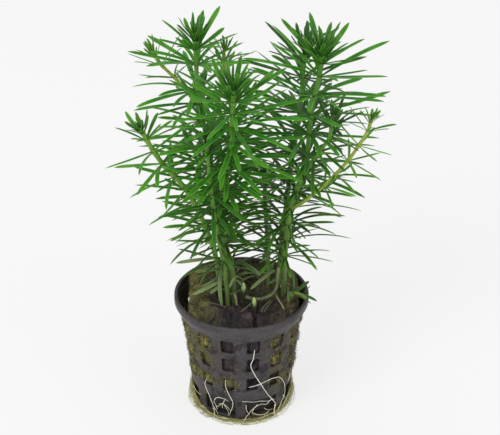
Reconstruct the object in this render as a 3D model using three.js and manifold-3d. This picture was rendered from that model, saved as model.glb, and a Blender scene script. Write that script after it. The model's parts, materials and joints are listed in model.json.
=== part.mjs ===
// A potted stem plant of the water garden: Pogostemon erectus, rooted in a plug of mineral wool that
// fills a small net pot. Millimetres, +Z up. The pot's axis is Z, the front is -Y, and z = 0 is the
// surface that the flat root mat under the pot rests on.
import * as THREE from 'three';
import { mergeVertices } from 'three/addons/utils/BufferGeometryUtils.js';
import Module from 'manifold-3d';

const wasm = await Module();
wasm.setup();

// Driving sizes
const GAP = 0.3; // left between pieces that touch
const POT_FLOOR = 2; // height of the pot's underside: the root mat lies below it
const WALL = 1.1;
const COLUMNS = 14; // columns of windows round the pot, as wide as the bars between them
const FIRST_COLUMN = 11.5; // degrees from the front towards +X to the middle of a window
// Heights above the pot's underside, with the wall's outside radius, from the foot to the rim.
// Windows lie between two levels: the foot windows span two columns and the bar between them
const FOOT = 'foot windows';
const ROW = 'row of windows';
const POT_LEVELS = [
  { z: 0, radius: 19.5 },
  { z: 1.7, radius: 19.7, above: FOOT },
  { z: 9.2, radius: 20.5 },
  { z: 14.7, radius: 21.1, above: ROW },
  { z: 21.1, radius: 21.8 },
  { z: 24.7, radius: 22.2, above: ROW },
  { z: 31.1, radius: 22.9 },
  { z: 34.2, radius: 23.3, above: ROW },
  { z: 40.4, radius: 24.3 },
  { z: 43.0, radius: 25.6 },
  { z: 45.3, radius: 26.4 },
  { z: 45.5, radius: 27.0 },
  { z: 48.5, radius: 27.0 },
];
const POT_TOP = POT_FLOOR + POT_LEVELS[POT_LEVELS.length - 1].z;
const BORE = 26.7; // the rim's lip is on the outside only: the inside goes no wider than this less WALL
const FACET = 0.15; // how far the flats of a many-sided ring lie inside its circle

const WOOL_SIDES = 24;
const WOOL_LEFT = -20.8;
const WOOL_RIGHT = 23.2;
const WOOL_FRONT = -22.5;
const WOOL_BACK = 18.5;
const WOOL_TOP = 50.2; // height of its top face over the pot's axis
const WOOL_EDGE = 47; // where the block's sides meet its top
const WOOL_TILT = 0.15; // the top face rises towards the back
const HOLLOW = { x: 4.5, y: 0, wide: 12, deep: 7, depth: 5.2 }; // where the stems go in
const SWELL = { from: 4, half: 25, high: 2.8 }; // its back stands higher than the pot's rim
const CLEFT = { x: 5.5, y: -17.2, top: 51, half: 2.6, depth: 7.5, long: 13.5 }; // runs to the front
const WOOL_SHARES = [1, 0.78, 0.5, 0.25]; // rings of its top face, as shares of the way to the edge

const MAT_SIDES = 28;
const MAT_THICK = 1.3;
const MAT_FRONT = 3.2; // height of its edge at the front
const MAT_SWELL = 4.8; // how much higher the edge lies at the sides
const MAT_HIGHEST = 8.6;
const MAT_ROUND = 0.5; // its outer edges are broken by this much

const LEAF_WIDE = 2;
const LEAF_THICK = 0.5;
const LEAF_FOOT = 1.2; // height of a leaf's foot on the stem
const FULL_LEAF = 36; // leaves of half this length and more have the full width
const BUD_LONG = 1.5; // the stem ends in a cone of this length
const BEND_AT = 0.5; // share of the leaf's length at which it is widest and bends
const WHORL_STEP = 7.4; // stem length between two whorls of leaves

const DEGREE = Math.PI / 180;
const UP = new THREE.Vector3(0, 0, 1);

// Colours
const plastic = { color: 0x4a4647, roughness: 0.5, metalness: 0 };
const mineralWool = { color: 0x5f5638, roughness: 0.95, metalness: 0 };
const matFibre = { color: 0xa9a75f, roughness: 0.8, metalness: 0 };
const rootSkin = { color: 0xdcd8bf, roughness: 0.6, metalness: 0 };
const leafGreen = { color: 0x3c8a2a, roughness: 0.45, metalness: 0 };
const leafPale = { color: 0x5a9a35, roughness: 0.45, metalness: 0 };
const leafDark = { color: 0x2c6424, roughness: 0.5, metalness: 0 };
const bareStem = { color: 0x6f8548, roughness: 0.5, metalness: 0 };

// Small helpers

// Outside radius of the pot's wall at a height over the resting plane
function potRadius(height) {
  const z = height - POT_FLOOR;
  const next = POT_LEVELS.findIndex((level) => level.z > z);
  if (next < 1) {
    return next < 0 ? POT_LEVELS[POT_LEVELS.length - 1].radius : POT_LEVELS[0].radius;
  }
  const low = POT_LEVELS[next - 1];
  const high = POT_LEVELS[next];
  return low.radius + ((high.radius - low.radius) * (z - low.z)) / (high.z - low.z);
}

function boreRadius(height) {
  return Math.min(potRadius(height), BORE) - WALL;
}

// A point at an angle from the front (degrees, towards +X), a radius and a height
function around(angle, radius, z) {
  return new THREE.Vector3(radius * Math.sin(angle * DEGREE), -radius * Math.cos(angle * DEGREE), z);
}

// Repeatable numbers from 0 to 1
function seeded(seed) {
  let state = seed;
  return () => {
    state = (state * 1664525 + 1013904223) % 4294967296;
    return state / 4294967296;
  };
}

function geometryOf(points, triangles) {
  const geometry = new THREE.BufferGeometry();
  geometry.setAttribute('position', new THREE.Float32BufferAttribute(points.flatMap((p) => p.toArray()), 3));
  geometry.setIndex(triangles);
  return geometry;
}

function solidOf(geometry) {
  const bare = geometry.clone();
  bare.deleteAttribute('normal');
  bare.deleteAttribute('uv');
  const merged = mergeVertices(bare, 1e-4);
  return new wasm.Manifold(
    new wasm.Mesh({
      numProp: 3,
      vertProperties: new Float32Array(merged.attributes.position.array),
      triVerts: new Uint32Array(merged.index.array),
    }),
  );
}

function geometryOfSolid(solid) {
  const mesh = solid.getMesh();
  const geometry = new THREE.BufferGeometry();
  geometry.setAttribute('position', new THREE.BufferAttribute(new Float32Array(mesh.vertProperties), 3));
  geometry.setIndex(new THREE.BufferAttribute(new Uint32Array(mesh.triVerts), 1));
  return geometry;
}

// A closed surface over rings of points: ring by ring, each turning counter-clockwise seen from
// the last ring, with one point closing each end
function skinOf(start, rings, end) {
  const sides = rings[0].length;
  const points = [start, ...rings.flat(), end];
  const last = points.length - 1;
  const at = (ring, side) => 1 + ring * sides + (side % sides);
  const triangles = [];
  for (let s = 0; s < sides; s++) {
    triangles.push(0, at(0, s + 1), at(0, s));
    triangles.push(last, at(rings.length - 1, s), at(rings.length - 1, s + 1));
  }
  for (let r = 0; r + 1 < rings.length; r++) {
    for (let s = 0; s < sides; s++) {
      triangles.push(at(r, s), at(r, s + 1), at(r + 1, s + 1));
      triangles.push(at(r, s), at(r + 1, s + 1), at(r + 1, s));
    }
  }
  return geometryOf(points, triangles);
}

// The directions across a stem or root at one place of its curve
function frameAt(tangent) {
  const reference = Math.abs(tangent.x) < 0.85 ? new THREE.Vector3(1, 0, 0) : new THREE.Vector3(0, 1, 0);
  const side = reference.addScaledVector(tangent, -reference.dot(tangent)).normalize();
  const other = new THREE.Vector3().crossVectors(tangent, side);
  return { side, other };
}

function ringAt(centre, tangent, radius, sides, turn) {
  const { side, other } = frameAt(tangent);
  return Array.from({ length: sides }, (_, i) => {
    const angle = turn + (i * 2 * Math.PI) / sides;
    return centre
      .clone()
      .addScaledVector(side, radius * Math.cos(angle))
      .addScaledVector(other, radius * Math.sin(angle));
  });
}

// A closed tapering tube along a smooth line through the points
function tubeAlong(points, startRadius, endRadius, sides, steps) {
  const curve = new THREE.CatmullRomCurve3(points, false, 'catmullrom', 0.5);
  const rings = [];
  for (let i = 0; i <= steps; i++) {
    const t = i / steps;
    const radius = startRadius + (endRadius - startRadius) * t;
    rings.push(ringAt(curve.getPointAt(t), curve.getTangentAt(t), radius, sides, 0));
  }
  return skinOf(curve.getPoint(0), rings, curve.getPoint(1));
}

function namedMesh(name, geometry, look) {
  const mesh = new THREE.Mesh(geometry, new THREE.MeshStandardMaterial(look));
  mesh.name = name;
  return mesh;
}

// Net pot: a cup of columns, where each second column has a window in each row. The foot windows
// reach over two columns with windows and the bar between them
function potGeometry() {
  const sides = 2 * COLUMNS;
  const half = 180 / sides;
  const points = [];
  const triangles = [];
  const add = (point) => points.push(point) - 1;
  const quad = (a, b, c, d) => triangles.push(a, b, c, a, c, d);
  const corner = (side) => FIRST_COLUMN - half + (side * 360) / sides;
  const circle = (radius, z) =>
    Array.from({ length: sides }, (_, side) => add(around(corner(side), radius, z + POT_FLOOR)));
  const outer = POT_LEVELS.map(({ z, radius }) => circle(radius, z));
  const inner = POT_LEVELS.slice(1).map(({ z }) => circle(boreRadius(z + POT_FLOOR), z));
  const isOpen = (level, side) => {
    const kind = POT_LEVELS[level].above;
    const place = (side + sides) % 4;
    return (kind === ROW && place % 2 === 0) || (kind === FOOT && place < 3);
  };
  const underside = add(new THREE.Vector3(0, 0, POT_FLOOR));
  const floor = add(new THREE.Vector3(0, 0, POT_FLOOR + POT_LEVELS[1].z));
  for (let side = 0; side < sides; side++) {
    const next = (side + 1) % sides;
    triangles.push(underside, outer[0][next], outer[0][side]);
    triangles.push(floor, inner[0][side], inner[0][next]);
    quad(outer[0][side], outer[0][next], outer[1][next], outer[1][side]);
    for (let level = 1; level + 1 < POT_LEVELS.length; level++) {
      const [out0, out1, in0, in1] = [outer[level], outer[level + 1], inner[level - 1], inner[level]];
      if (!isOpen(level, side)) {
        quad(out0[side], out0[next], out1[next], out1[side]);
        quad(in0[next], in0[side], in1[side], in1[next]);
        continue;
      }
      quad(out0[side], out0[next], in0[next], in0[side]);
      quad(in1[side], in1[next], out1[next], out1[side]);
      if (!isOpen(level, side - 1)) {
        quad(out0[side], in0[side], in1[side], out1[side]);
      }
      if (!isOpen(level, side + 1)) {
        quad(in0[next], out0[next], out1[next], in1[next]);
      }
    }
    const top = POT_LEVELS.length - 1;
    quad(outer[top][side], outer[top][next], inner[top - 1][next], inner[top - 1][side]);
  }
  return geometryOf(points, triangles);
}

// Mineral wool: a cut block squeezed into the pot

// Height of the wool's top face
function woolTop(x, y) {
  const across = (x - HOLLOW.x) / HOLLOW.wide;
  const along = (y - HOLLOW.y) / HOLLOW.deep;
  const hollow = HOLLOW.depth * Math.exp(-(across ** 2) - along ** 2);
  const lumps = 0.5 * Math.sin(0.55 * x + 1) * Math.cos(0.45 * y);
  const toBack = Math.max(0, (y - SWELL.from) / (WOOL_BACK - SWELL.from));
  const swell = SWELL.high * toBack * Math.cos((x / SWELL.half) * (Math.PI / 2));
  return WOOL_TOP + WOOL_TILT * y + lumps + swell - hollow;
}

// Distance from the pot's axis to the block's side, in one direction
function blockRadius(angle) {
  const across = Math.sin(angle * DEGREE);
  const along = -Math.cos(angle * DEGREE);
  const toSide = across > 0 ? WOOL_RIGHT / across : WOOL_LEFT / Math.min(across, -1e-6);
  const toFace = along > 0 ? WOOL_BACK / along : WOOL_FRONT / Math.min(along, -1e-6);
  return Math.min(toSide, toFace);
}

function woolGeometry(sleeves) {
  const low = POT_FLOOR + POT_LEVELS[1].z + GAP;
  const inner = (z) => boreRadius(z) - GAP - FACET;
  const angles = Array.from({ length: WOOL_SIDES }, (_, i) => (i * 360) / WOOL_SIDES);
  const ring = (z) => angles.map((a) => around(a, Math.min(blockRadius(a), inner(z)), z));
  const rings = [low, POT_FLOOR + 37, POT_FLOOR + 40.2].map(ring);
  for (const share of WOOL_SHARES) {
    rings.push(
      angles.map((a) => {
        const point = around(a, share * Math.min(blockRadius(a), inner(WOOL_EDGE)), 0);
        point.z = woolTop(point.x, point.y);
        return point;
      }),
    );
  }
  const start = new THREE.Vector3(0, 0, low);
  const end = new THREE.Vector3(0, 0, woolTop(0, 0));
  let wool = solidOf(skinOf(start, rings, end));
  const cleft = new THREE.CylinderGeometry(1, 1, CLEFT.long, 3);
  cleft.rotateY(Math.PI).scale(CLEFT.half / Math.sin(Math.PI / 3), 1, CLEFT.depth / 1.5);
  cleft.translate(CLEFT.x, CLEFT.y, CLEFT.top - CLEFT.depth / 3);
  wool = wool.subtract(solidOf(cleft));
  for (const sleeve of sleeves) {
    wool = wool.subtract(sleeve);
  }
  return geometryOfSolid(wool);
}

// Root mat: a shallow dish of matted fine roots that hugs the pot's foot

// Height of its edge, lowest at the front
function matTop(angle) {
  return Math.min(MAT_HIGHEST, MAT_FRONT + MAT_SWELL * (1 - Math.cos(angle * DEGREE)));
}

function matGeometry() {
  const angles = Array.from({ length: MAT_SIDES }, (_, i) => (i * 360) / MAT_SIDES);
  const floor = POT_FLOOR - GAP;
  const ring = (radius, z) => angles.map((a) => around(a, radius(a), z(a)));
  const outer = (a, z) => potRadius(z) + GAP + MAT_THICK;
  const rings = [
    ring(() => potRadius(POT_FLOOR) + MAT_ROUND, () => 0),
    ring((a) => outer(a, POT_FLOOR), () => MAT_ROUND * 2),
    ring((a) => outer(a, matTop(a)), (a) => matTop(a) - MAT_ROUND),
    ring((a) => outer(a, matTop(a)) - MAT_ROUND, matTop),
    ring((a) => potRadius(matTop(a)) + GAP + FACET, matTop),
    ring(() => potRadius(POT_FLOOR) + GAP + FACET, () => floor),
  ];
  return skinOf(new THREE.Vector3(0, 0, 0), rings, new THREE.Vector3(0, 0, floor));
}

// White roots that hang out of the windows: places on the pot's outside as
// [degrees from the front, height, distance from the wall]
const ROOTS = {
  root_long: {
    thick: 1.0,
    path: [
      [12.5, 38, -0.2], [11, 34.5, 1], [8.8, 30.6, 1.1], [11.4, 27.3, 1.2], [18.5, 21.5, 1.9],
      [25.7, 15.8, 1.7], [35.8, 9.5, 1.9], [40.1, 7, 1.4], [41.2, 5.6, 1],
    ],
  },
  root_looped: {
    thick: 0.8,
    path: [
      [8, 18.5, -0.3], [8.3, 19.5, 0.6], [10.9, 19.6, 0.8], [17.3, 20, 0.8], [26, 21.1, 0.8],
      [34.4, 21.3, 0.8], [42.5, 20.5, 0.8], [48, 17.8, 0.8], [52.7, 14.7, 0.8], [55.4, 10.9, 0.8],
      [54.4, 6.9, 0.9],
    ],
  },
  root_left: {
    thick: 0.8,
    path: [
      [-41.5, 19.5, -0.4], [-42.2, 17.6, 0.8], [-41.4, 14.9, 0.8], [-37.8, 12.4, 0.9], [-33.7, 7.2, 0.9],
      [-34.2, 5, 0.8],
    ],
  },
  root_front_left: {
    thick: 0.8,
    path: [
      [-17.5, 22, -0.3], [-17.5, 20.5, 0.8], [-14.4, 15.9, 0.8], [-9.8, 10.8, 0.8], [-11.8, 6.9, 0.8],
      [-14, 4.5, 0.8],
    ],
  },
  root_arch: {
    thick: 0.7,
    path: [
      [-31.5, 10.2, 0.8], [-28.8, 11.9, 0.8], [-23.9, 12.6, 0.8], [-18, 12.2, 0.7], [-15.3, 11.5, 0.7],
    ],
  },
  root_fan: {
    thick: 0.6,
    path: [[-30.6, 6.7, 0.7], [-24.5, 8.5, 0.7], [-20.5, 10.3, 0.7]],
  },
  root_front_short: {
    thick: 0.7,
    path: [[5, 10, 0.8], [4.8, 8.4, 0.8], [6.2, 6.1, 0.8], [8.3, 4.7, 0.8]],
  },
  root_foot: {
    thick: 0.7,
    path: [[11.6, 5.4, 0.7], [14, 7.9, 0.7], [22, 9.3, 0.7]],
  },
  root_crossing: {
    thick: 0.6,
    path: [
      [0.5, 11.8, 0.7], [7, 11.5, 0.7], [13.7, 11.1, 0.7], [22.9, 10.8, 0.7], [31.9, 9.6, 0.6],
      [36, 10.6, 0.6],
    ],
  },
  root_far_left: {
    thick: 0.6,
    path: [[-69.6, 10, 0.7], [-61.7, 9.4, 0.8], [-53.5, 8.7, 0.7]],
  },
};

function rootGeometry({ thick, path }) {
  const points = path.map(([angle, z, out]) => around(angle, potRadius(z) + out, z));
  return tubeAlong(points, thick / 2, thick / 3.2, 4, path.length + 1);
}

// Shoots: a stem with whorls of narrow leaves. A path runs from the foot to the crown, radii are
// those of the two ends, bare is the stem length without leaves, and gaps are the distances
// between the first whorls under the crown, where they differ from WHORL_STEP. Leaf is the longest
// leaf and hang says how much old leaves bend down
const SHOOTS = {
  shoot_right_tall: {
    look: leafGreen,
    path: [
      [16.8, 2, 38], [17, 2, 62.2], [18, 2, 76.2], [19.4, 2, 88.6], [23.1, 3, 100.6], [25.7, 4, 111.2],
      [26.3, 4, 122.1], [27.3, 5, 132.3], [29.4, 6, 141.6], [30.3, 6, 148], [30.3, 6, 153.5],
    ],
    radii: [1.25, 0.85], bare: 23, gaps: [3, 5.5, 8, 8, 8, 10, 8],
    leaves: 7, leaf: 31, hang: 0.14, seed: 871,
  },
  shoot_left_tall: {
    look: leafGreen,
    path: [
      [-5.5, 4, 38], [-6, 4.5, 58.2], [-7, 6, 69.1], [-8.9, 8, 84.1], [-11.2, 10, 98.9], [-13.4, 11, 113.9],
      [-15.4, 12, 125.2], [-16.7, 12, 136], [-17.1, 12, 147.9], [-17.3, 12, 157],
    ],
    radii: [1.2, 0.75], bare: 27, gaps: [3.5, 6.5, 11, 5.5, 7.5, 7, 7.5],
    leaves: 7, leaf: 26, hang: 0.24, seed: 783,
  },
  shoot_front: {
    look: leafGreen,
    path: [
      [-2.2, -1, 38], [-4.2, -1, 65.5], [-6.5, -2, 74.9], [-7.6, -4, 85.8], [-7.1, -6, 96.9],
      [-5.5, -9, 111.9], [-3.9, -12, 126.5], [-3.2, -14, 138], [-2.6, -15, 148],
    ],
    radii: [1.3, 0.9], bare: 36, gaps: [3, 5, 6, 7.5, 8], leaves: 7, leaf: 31, hang: 0.08, seed: 2902,
  },
  shoot_left_leaning: {
    look: leafGreen,
    path: [
      [-8.2, 1, 38], [-8.8, 1.2, 55], [-10.4, 0.2, 68], [-13.4, -3.6, 81.5], [-17.6, -8, 95.4],
      [-22.3, -11, 106.4], [-28.2, -13, 114.6], [-33.2, -15, 123.8], [-37, -16, 132.5],
    ],
    radii: [1.15, 0.85], bare: 46, gaps: [3, 6, 7, 8, 8], leaves: 6, leaf: 19, hang: 0.02, seed: 4057,
  },
  shoot_right_back: {
    look: leafDark,
    path: [
      [14.8, 7, 38], [15.5, 9, 59.2], [16.6, 12, 72.4], [18.5, 15, 86.9], [20.3, 18, 103.4], [22.2, 19, 114],
      [23.5, 20, 126.7], [24.1, 20, 137.5], [24.7, 20, 147.5],
    ],
    radii: [1.15, 0.75], bare: 26, gaps: [3.5, 6.5, 8], leaves: 6, leaf: 28, hang: 0.12, seed: 2170,
  },
  shoot_left_side: {
    look: leafPale,
    path: [
      [-17.4, 12.8, 129], [-20.5, 15, 132.5], [-24.1, 17.5, 136.2], [-29.5, 20, 140.5], [-33.4, 21, 145.5],
    ],
    radii: [0.75, 0.6], bare: 1.5, gaps: [3.5, 7, 7], leaves: 6, leaf: 21, hang: 0.02, seed: 508,
  },
  shoot_left_inner: {
    look: leafPale,
    path: [[-11.6, 12.2, 119], [-9.8, 14.6, 124], [-8, 17.6, 132.9], [-6.6, 20, 140.5], [-6.6, 21, 147]],
    radii: [0.75, 0.6], bare: 4, gaps: [3.5, 6, 7.5], leaves: 6, leaf: 20, hang: 0.04, seed: 931,
  },
  shoot_right_thin: {
    look: leafPale,
    path: [
      [20.8, 0.4, 89.6], [23.9, -3, 94], [28.7, -6, 100], [34.2, -9, 107.5], [40.3, -11, 116.5],
      [44.6, -12, 124.3], [47.6, -12, 130.3], [48.6, -12, 134.5],
    ],
    radii: [0.75, 0.6], bare: 15, gaps: [3.5, 7, 8, 8.5], leaves: 6, leaf: 15, hang: 0.14, seed: 1831,
  },
  shoot_right_dark: {
    look: leafDark,
    path: [[26.2, 1.2, 107.5], [28.5, -1.8, 113.2], [31, -5, 119.2], [33.5, -7, 124.5], [34.3, -8, 133.5]],
    radii: [0.8, 0.65], bare: 3, gaps: [3, 5.5, 7], leaves: 6, leaf: 19, hang: 0.08, seed: 4846,
  },
  shoot_left_low: {
    look: leafDark,
    path: [
      [-5, -4, 38], [-6.3, -5, 62], [-8.8, -9, 80.6], [-10.9, -14, 99.3], [-12.2, -18, 116.9],
      [-12.8, -20, 129],
    ],
    radii: [1.0, 0.7], bare: 25, gaps: [3, 6, 7], leaves: 6, leaf: 25, hang: 0.1, seed: 861,
  },
  shoot_middle_back: {
    look: leafDark,
    path: [[10.7, 5, 38], [10.7, 9, 59.2], [10.2, 13, 71.2], [9.6, 17, 82], [9.4, 19.5, 92]],
    radii: [1.0, 0.7], bare: 24, gaps: [3, 5.5, 6.5], leaves: 6, leaf: 22, hang: 0.12, seed: 1214,
  },
  shoot_right_low: {
    look: leafDark,
    path: [
      [18, -4.4, 38], [18.6, -4.8, 46], [19.2, -5.2, 51.4], [20.8, -6, 53.6], [22.8, -6.8, 54],
      [24.6, -7.6, 53.2],
    ],
    radii: [0.8, 0.6], bare: 15, gaps: [3], leaves: 5, leaf: 14, hang: 2, seed: 3569,
  },
};

// Bare stems in the wool: the foot, the run and the cut end
const ROUND_SIDES = 6;
const SLEEVE_LONG = 18; // length of the hole that the wool leaves for a stem
const CUT_STEMS = {
  bent_stem: {
    path: [
      [14.6, -2.2, 63.5], [14.3, -3.2, 58.9], [13.6, -4.4, 54.2], [10.2, -5.5, 51.6], [5.4, -6, 50.9],
      [1.6, -6, 52.2],
    ],
    radii: [0.8, 0.9], steps: 9,
  },
  cut_stub_back: { path: [[0.9, -4, 42], [0.8, -4.3, 50], [0.8, -4.5, 58]], radii: [1.1, 1.3], steps: 2 },
  cut_stub_front: { path: [[5.6, -8.8, 42], [5.2, -8.6, 48], [5, -8.4, 53.5]], radii: [1.1, 1.3], steps: 2 },
};

function vectorsOf(path) {
  return path.map(([x, y, z]) => new THREE.Vector3(x, y, z));
}

// What is placed already, as beads: balls along every stem and leaf, so that new leaves keep clear
const beads = [];
const STEM_BEAD_STEP = 1.2;
const FIRST_BEAD = 0.09; // shares of a leaf's length: its first bead, and the step from bead to bead
const BEAD_STEP = 0.07;
const SMALLEST_BEAD = 0.6;
const FOOT_BEAD = 0.85; // beads on the first fifth of a leaf, whose foot is thick, are no smaller

function addStemBeads(owner, path, radii) {
  const curve = new THREE.CatmullRomCurve3(vectorsOf(path), false, 'catmullrom', 0.5);
  const count = Math.ceil(curve.getLength() / STEM_BEAD_STEP);
  for (let i = 0; i <= count; i++) {
    const t = i / count;
    beads.push({ owner, whorl: -1, at: curve.getPointAt(t), radius: radii[0] + (radii[1] - radii[0]) * t });
  }
}

// Two straight stretches: foot to bend, bend to tip
function leafBeads(owner, whorl, leaf) {
  const list = [];
  for (let s = FIRST_BEAD; s <= 1; s += BEAD_STEP) {
    const at =
      s < BEND_AT
        ? leaf.foot.clone().lerp(leaf.bend, s / BEND_AT)
        : leaf.bend.clone().lerp(leaf.tip, (s - BEND_AT) / (1 - BEND_AT));
    const share = s < BEND_AT ? 0.5 + s : (1 - s) / (1 - BEND_AT);
    const smallest = s < 0.2 ? FOOT_BEAD : SMALLEST_BEAD;
    list.push({ owner, whorl, at, radius: Math.max(smallest, share * leaf.half) });
  }
  return list;
}

function isClearOfPot({ at, radius }) {
  const fromAxis = Math.hypot(at.x, at.y);
  if (fromAxis < boreRadius(POT_TOP) - radius) {
    return at.z > woolTop(at.x, at.y) + radius + GAP;
  }
  return fromAxis > potRadius(POT_TOP) + radius + GAP || at.z > POT_TOP + radius + GAP;
}

function isClear(list) {
  return list.every(
    (bead) =>
      isClearOfPot(bead) &&
      beads.every((other) => {
        if (other.owner === bead.owner && (other.whorl === bead.whorl || other.whorl === -1)) {
          return true;
        }
        const room = bead.radius + other.radius + GAP;
        return other.at.distanceToSquared(bead.at) > room * room;
      }),
  );
}

// How a leaf stands, by its whorl's distance from the crown. Young leaves are short and upright,
// the longest stand level some 30 mm below the crown, and older ones hang. Rise is the angle over
// the level and droop the angle of the bend, in degrees
function leafHabit(fromCrown, longest, hang) {
  const old = Math.max(0, fromCrown - 30);
  return {
    length: longest * (1 - 0.72 * Math.exp(-fromCrown / 5) - 0.0034 * old),
    rise: 8 + 52 * Math.exp(-fromCrown / 5.5) - 0.8 * hang * old,
    droop: 4 + hang * Math.min(80, fromCrown),
  };
}

function whorlDistances(length, bare, gaps) {
  const list = [];
  let distance = 1;
  for (let i = 0; distance < length - bare; i++) {
    list.push(distance);
    distance += gaps[i] ?? WHORL_STEP;
  }
  return list.reverse();
}

// Low leaves that face the front are short, by this share at most, so that the stems show
const WORN_SHARE = 0.55;
const WORN_FROM = 28; // distance from the crown where that starts
const WORN_SPAN = 25;

// How a leaf is fitted in where others stand: turned round the stem by so many degrees, then shorter
const LEAF_TRIES = [[0, 1], [9, 1], [-9, 1], [18, 0.9], [-18, 0.9], [0, 0.75], [0, 0.55], [0, 0.4]];

// On a leaning stem the leaves turn back towards the level: the share of up in their whorl's axis
const LEVELLING = 0.6;

// One leaf from the middle of a stem facet, or null where there is no room for it
function growLeaf(owner, whorl, foot, outward, tangent, habit) {
  for (const [turn, share] of LEAF_TRIES) {
    const length = habit.length * share;
    const axis = tangent.clone().addScaledVector(UP, LEVELLING).normalize();
    const facing = outward.clone().applyAxisAngle(tangent, (habit.turn + turn) * DEGREE);
    facing.addScaledVector(axis, -facing.dot(axis)).normalize();
    const rise = habit.rise * DEGREE;
    const first = facing.clone().multiplyScalar(Math.cos(rise)).addScaledVector(axis, Math.sin(rise));
    const sideways = new THREE.Vector3().crossVectors(axis, facing).normalize();
    const bend = foot.clone().addScaledVector(first, length * BEND_AT);
    const second = first.clone().addScaledVector(UP, -Math.sin(habit.droop * DEGREE)).normalize();
    const tip = bend.clone().addScaledVector(second, length * (1 - BEND_AT));
    const half = (LEAF_WIDE / 2) * Math.min(1, 0.5 + length / FULL_LEAF);
    const under = new THREE.Vector3().crossVectors(sideways, first);
    const leaf = { foot, bend, tip, half, sideways, under };
    const list = leafBeads(owner, whorl, leaf);
    if (isClear(list)) {
      beads.push(...list);
      return leaf;
    }
  }
  return null;
}

// The stem is a prism with a low band at each whorl, and each facet of the band carries a leaf
function shootGeometry(name, { path, radii, bare, gaps, leaves: sides, leaf: longest, hang, seed }) {
  const curve = new THREE.CatmullRomCurve3(vectorsOf(path), false, 'catmullrom', 0.5);
  const length = curve.getLength();
  const random = seeded(seed);
  const points = [curve.getPoint(0)];
  const triangles = [];
  const addRing = (distance, turn) => {
    const t = distance / length;
    const radius = radii[0] + (radii[1] - radii[0]) * t;
    const start = points.length;
    points.push(...ringAt(curve.getPointAt(t), curve.getTangentAt(t), radius, sides, turn));
    return start;
  };
  const band = (low, high, each) => {
    for (let s = 0; s < sides; s++) {
      const next = (s + 1) % sides;
      each(low + s, low + next, high + next, high + s);
    }
  };
  const plain = (a, b, c, d) => triangles.push(a, b, c, a, c, d);

  let below = addRing(0, 0);
  for (let s = 0; s < sides; s++) {
    triangles.push(0, below + ((s + 1) % sides), below + s);
  }
  const distances = whorlDistances(length, bare, gaps);
  const stops = bare > WHORL_STEP * 2 ? [bare / 3, (bare * 2) / 3] : [];
  for (const stop of stops) {
    const ring = addRing(stop, 0);
    band(below, ring, plain);
    below = ring;
  }
  distances.forEach((fromCrown, whorl) => {
    const middle = length - fromCrown;
    const turn = (whorl * Math.PI) / sides + (random() - 0.5) * 0.3;
    const low = addRing(middle - LEAF_FOOT / 2, turn);
    const high = addRing(middle + LEAF_FOOT / 2, turn);
    band(below, low, plain);
    const habit = leafHabit(fromCrown, longest, hang);
    const tangent = curve.getTangentAt(middle / length);
    const centre = curve.getPointAt(middle / length);
    band(low, high, (a, b, c, d) => {
      const foot = new THREE.Vector3();
      [a, b, c, d].forEach((corner) => foot.addScaledVector(points[corner], 0.25));
      const outward = foot.clone().sub(centre);
      outward.addScaledVector(tangent, -outward.dot(tangent)).normalize();
      const aged = Math.min(1, Math.max(0, fromCrown - WORN_FROM) / WORN_SPAN);
      const worn = WORN_SHARE * aged * Math.max(0, -outward.y) ** 2;
      const own = {
        length: habit.length * (0.84 + 0.26 * random()) * (1 - worn),
        rise: habit.rise + 22 * (random() - 0.5),
        droop: habit.droop * (0.3 + random()),
        turn: 18 * (random() - 0.5),
      };
      const leaf = growLeaf(name, whorl, foot, outward, tangent, own);
      if (!leaf) {
        plain(a, b, c, d);
        return;
      }
      const left = points.length;
      const right = left + 1;
      const keel = left + 2;
      const tip = left + 3;
      points.push(leaf.bend.clone().addScaledVector(leaf.sideways, -leaf.half));
      points.push(leaf.bend.clone().addScaledVector(leaf.sideways, leaf.half));
      points.push(leaf.bend.clone().addScaledVector(leaf.under, LEAF_THICK));
      points.push(leaf.tip);
      triangles.push(a, b, keel, b, right, keel, b, c, right, c, left, right);
      triangles.push(c, d, left, d, a, left, a, keel, left);
      triangles.push(keel, right, tip, right, left, tip, left, keel, tip);
    });
    below = high;
  });
  const bud = points.length;
  points.push(curve.getPointAt(1).addScaledVector(curve.getTangentAt(1), BUD_LONG));
  for (let s = 0; s < sides; s++) {
    triangles.push(bud, below + s, below + ((s + 1) % sides));
  }
  return geometryOf(points, triangles);
}

// Assembly
const plant = new THREE.Group();
plant.add(namedMesh('net_pot', potGeometry(), plastic));

const stems = { ...SHOOTS, ...CUT_STEMS };
const sleeves = Object.values(stems)
  .filter(({ path }) => path[0][2] < WOOL_TOP - HOLLOW.depth)
  .map(({ path, radii }) => {
    const foot = new THREE.Vector3(...path[0]);
    const along = new THREE.Vector3(...path[1]).sub(foot).normalize();
    const start = foot.clone().addScaledVector(along, -GAP);
    const end = foot.clone().addScaledVector(along, SLEEVE_LONG);
    const radius = radii[0] + GAP + FACET;
    return solidOf(tubeAlong([start, end], radius, radius, ROUND_SIDES, 1));
  });
plant.add(namedMesh('stone_wool', woolGeometry(sleeves), mineralWool));
plant.add(namedMesh('root_mat', matGeometry(), matFibre));

for (const [name, root] of Object.entries(ROOTS)) {
  plant.add(namedMesh(name, rootGeometry(root), rootSkin));
}
for (const [name, { path, radii }] of Object.entries(stems)) {
  addStemBeads(name, path, radii);
}
for (const [name, { path, radii, steps }] of Object.entries(CUT_STEMS)) {
  const stem = tubeAlong(vectorsOf(path), radii[0], radii[1], ROUND_SIDES, steps);
  plant.add(namedMesh(name, stem, bareStem));
}
for (const [name, shoot] of Object.entries(SHOOTS)) {
  plant.add(namedMesh(name, shootGeometry(name, shoot), shoot.look));
}

export default plant;
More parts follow.
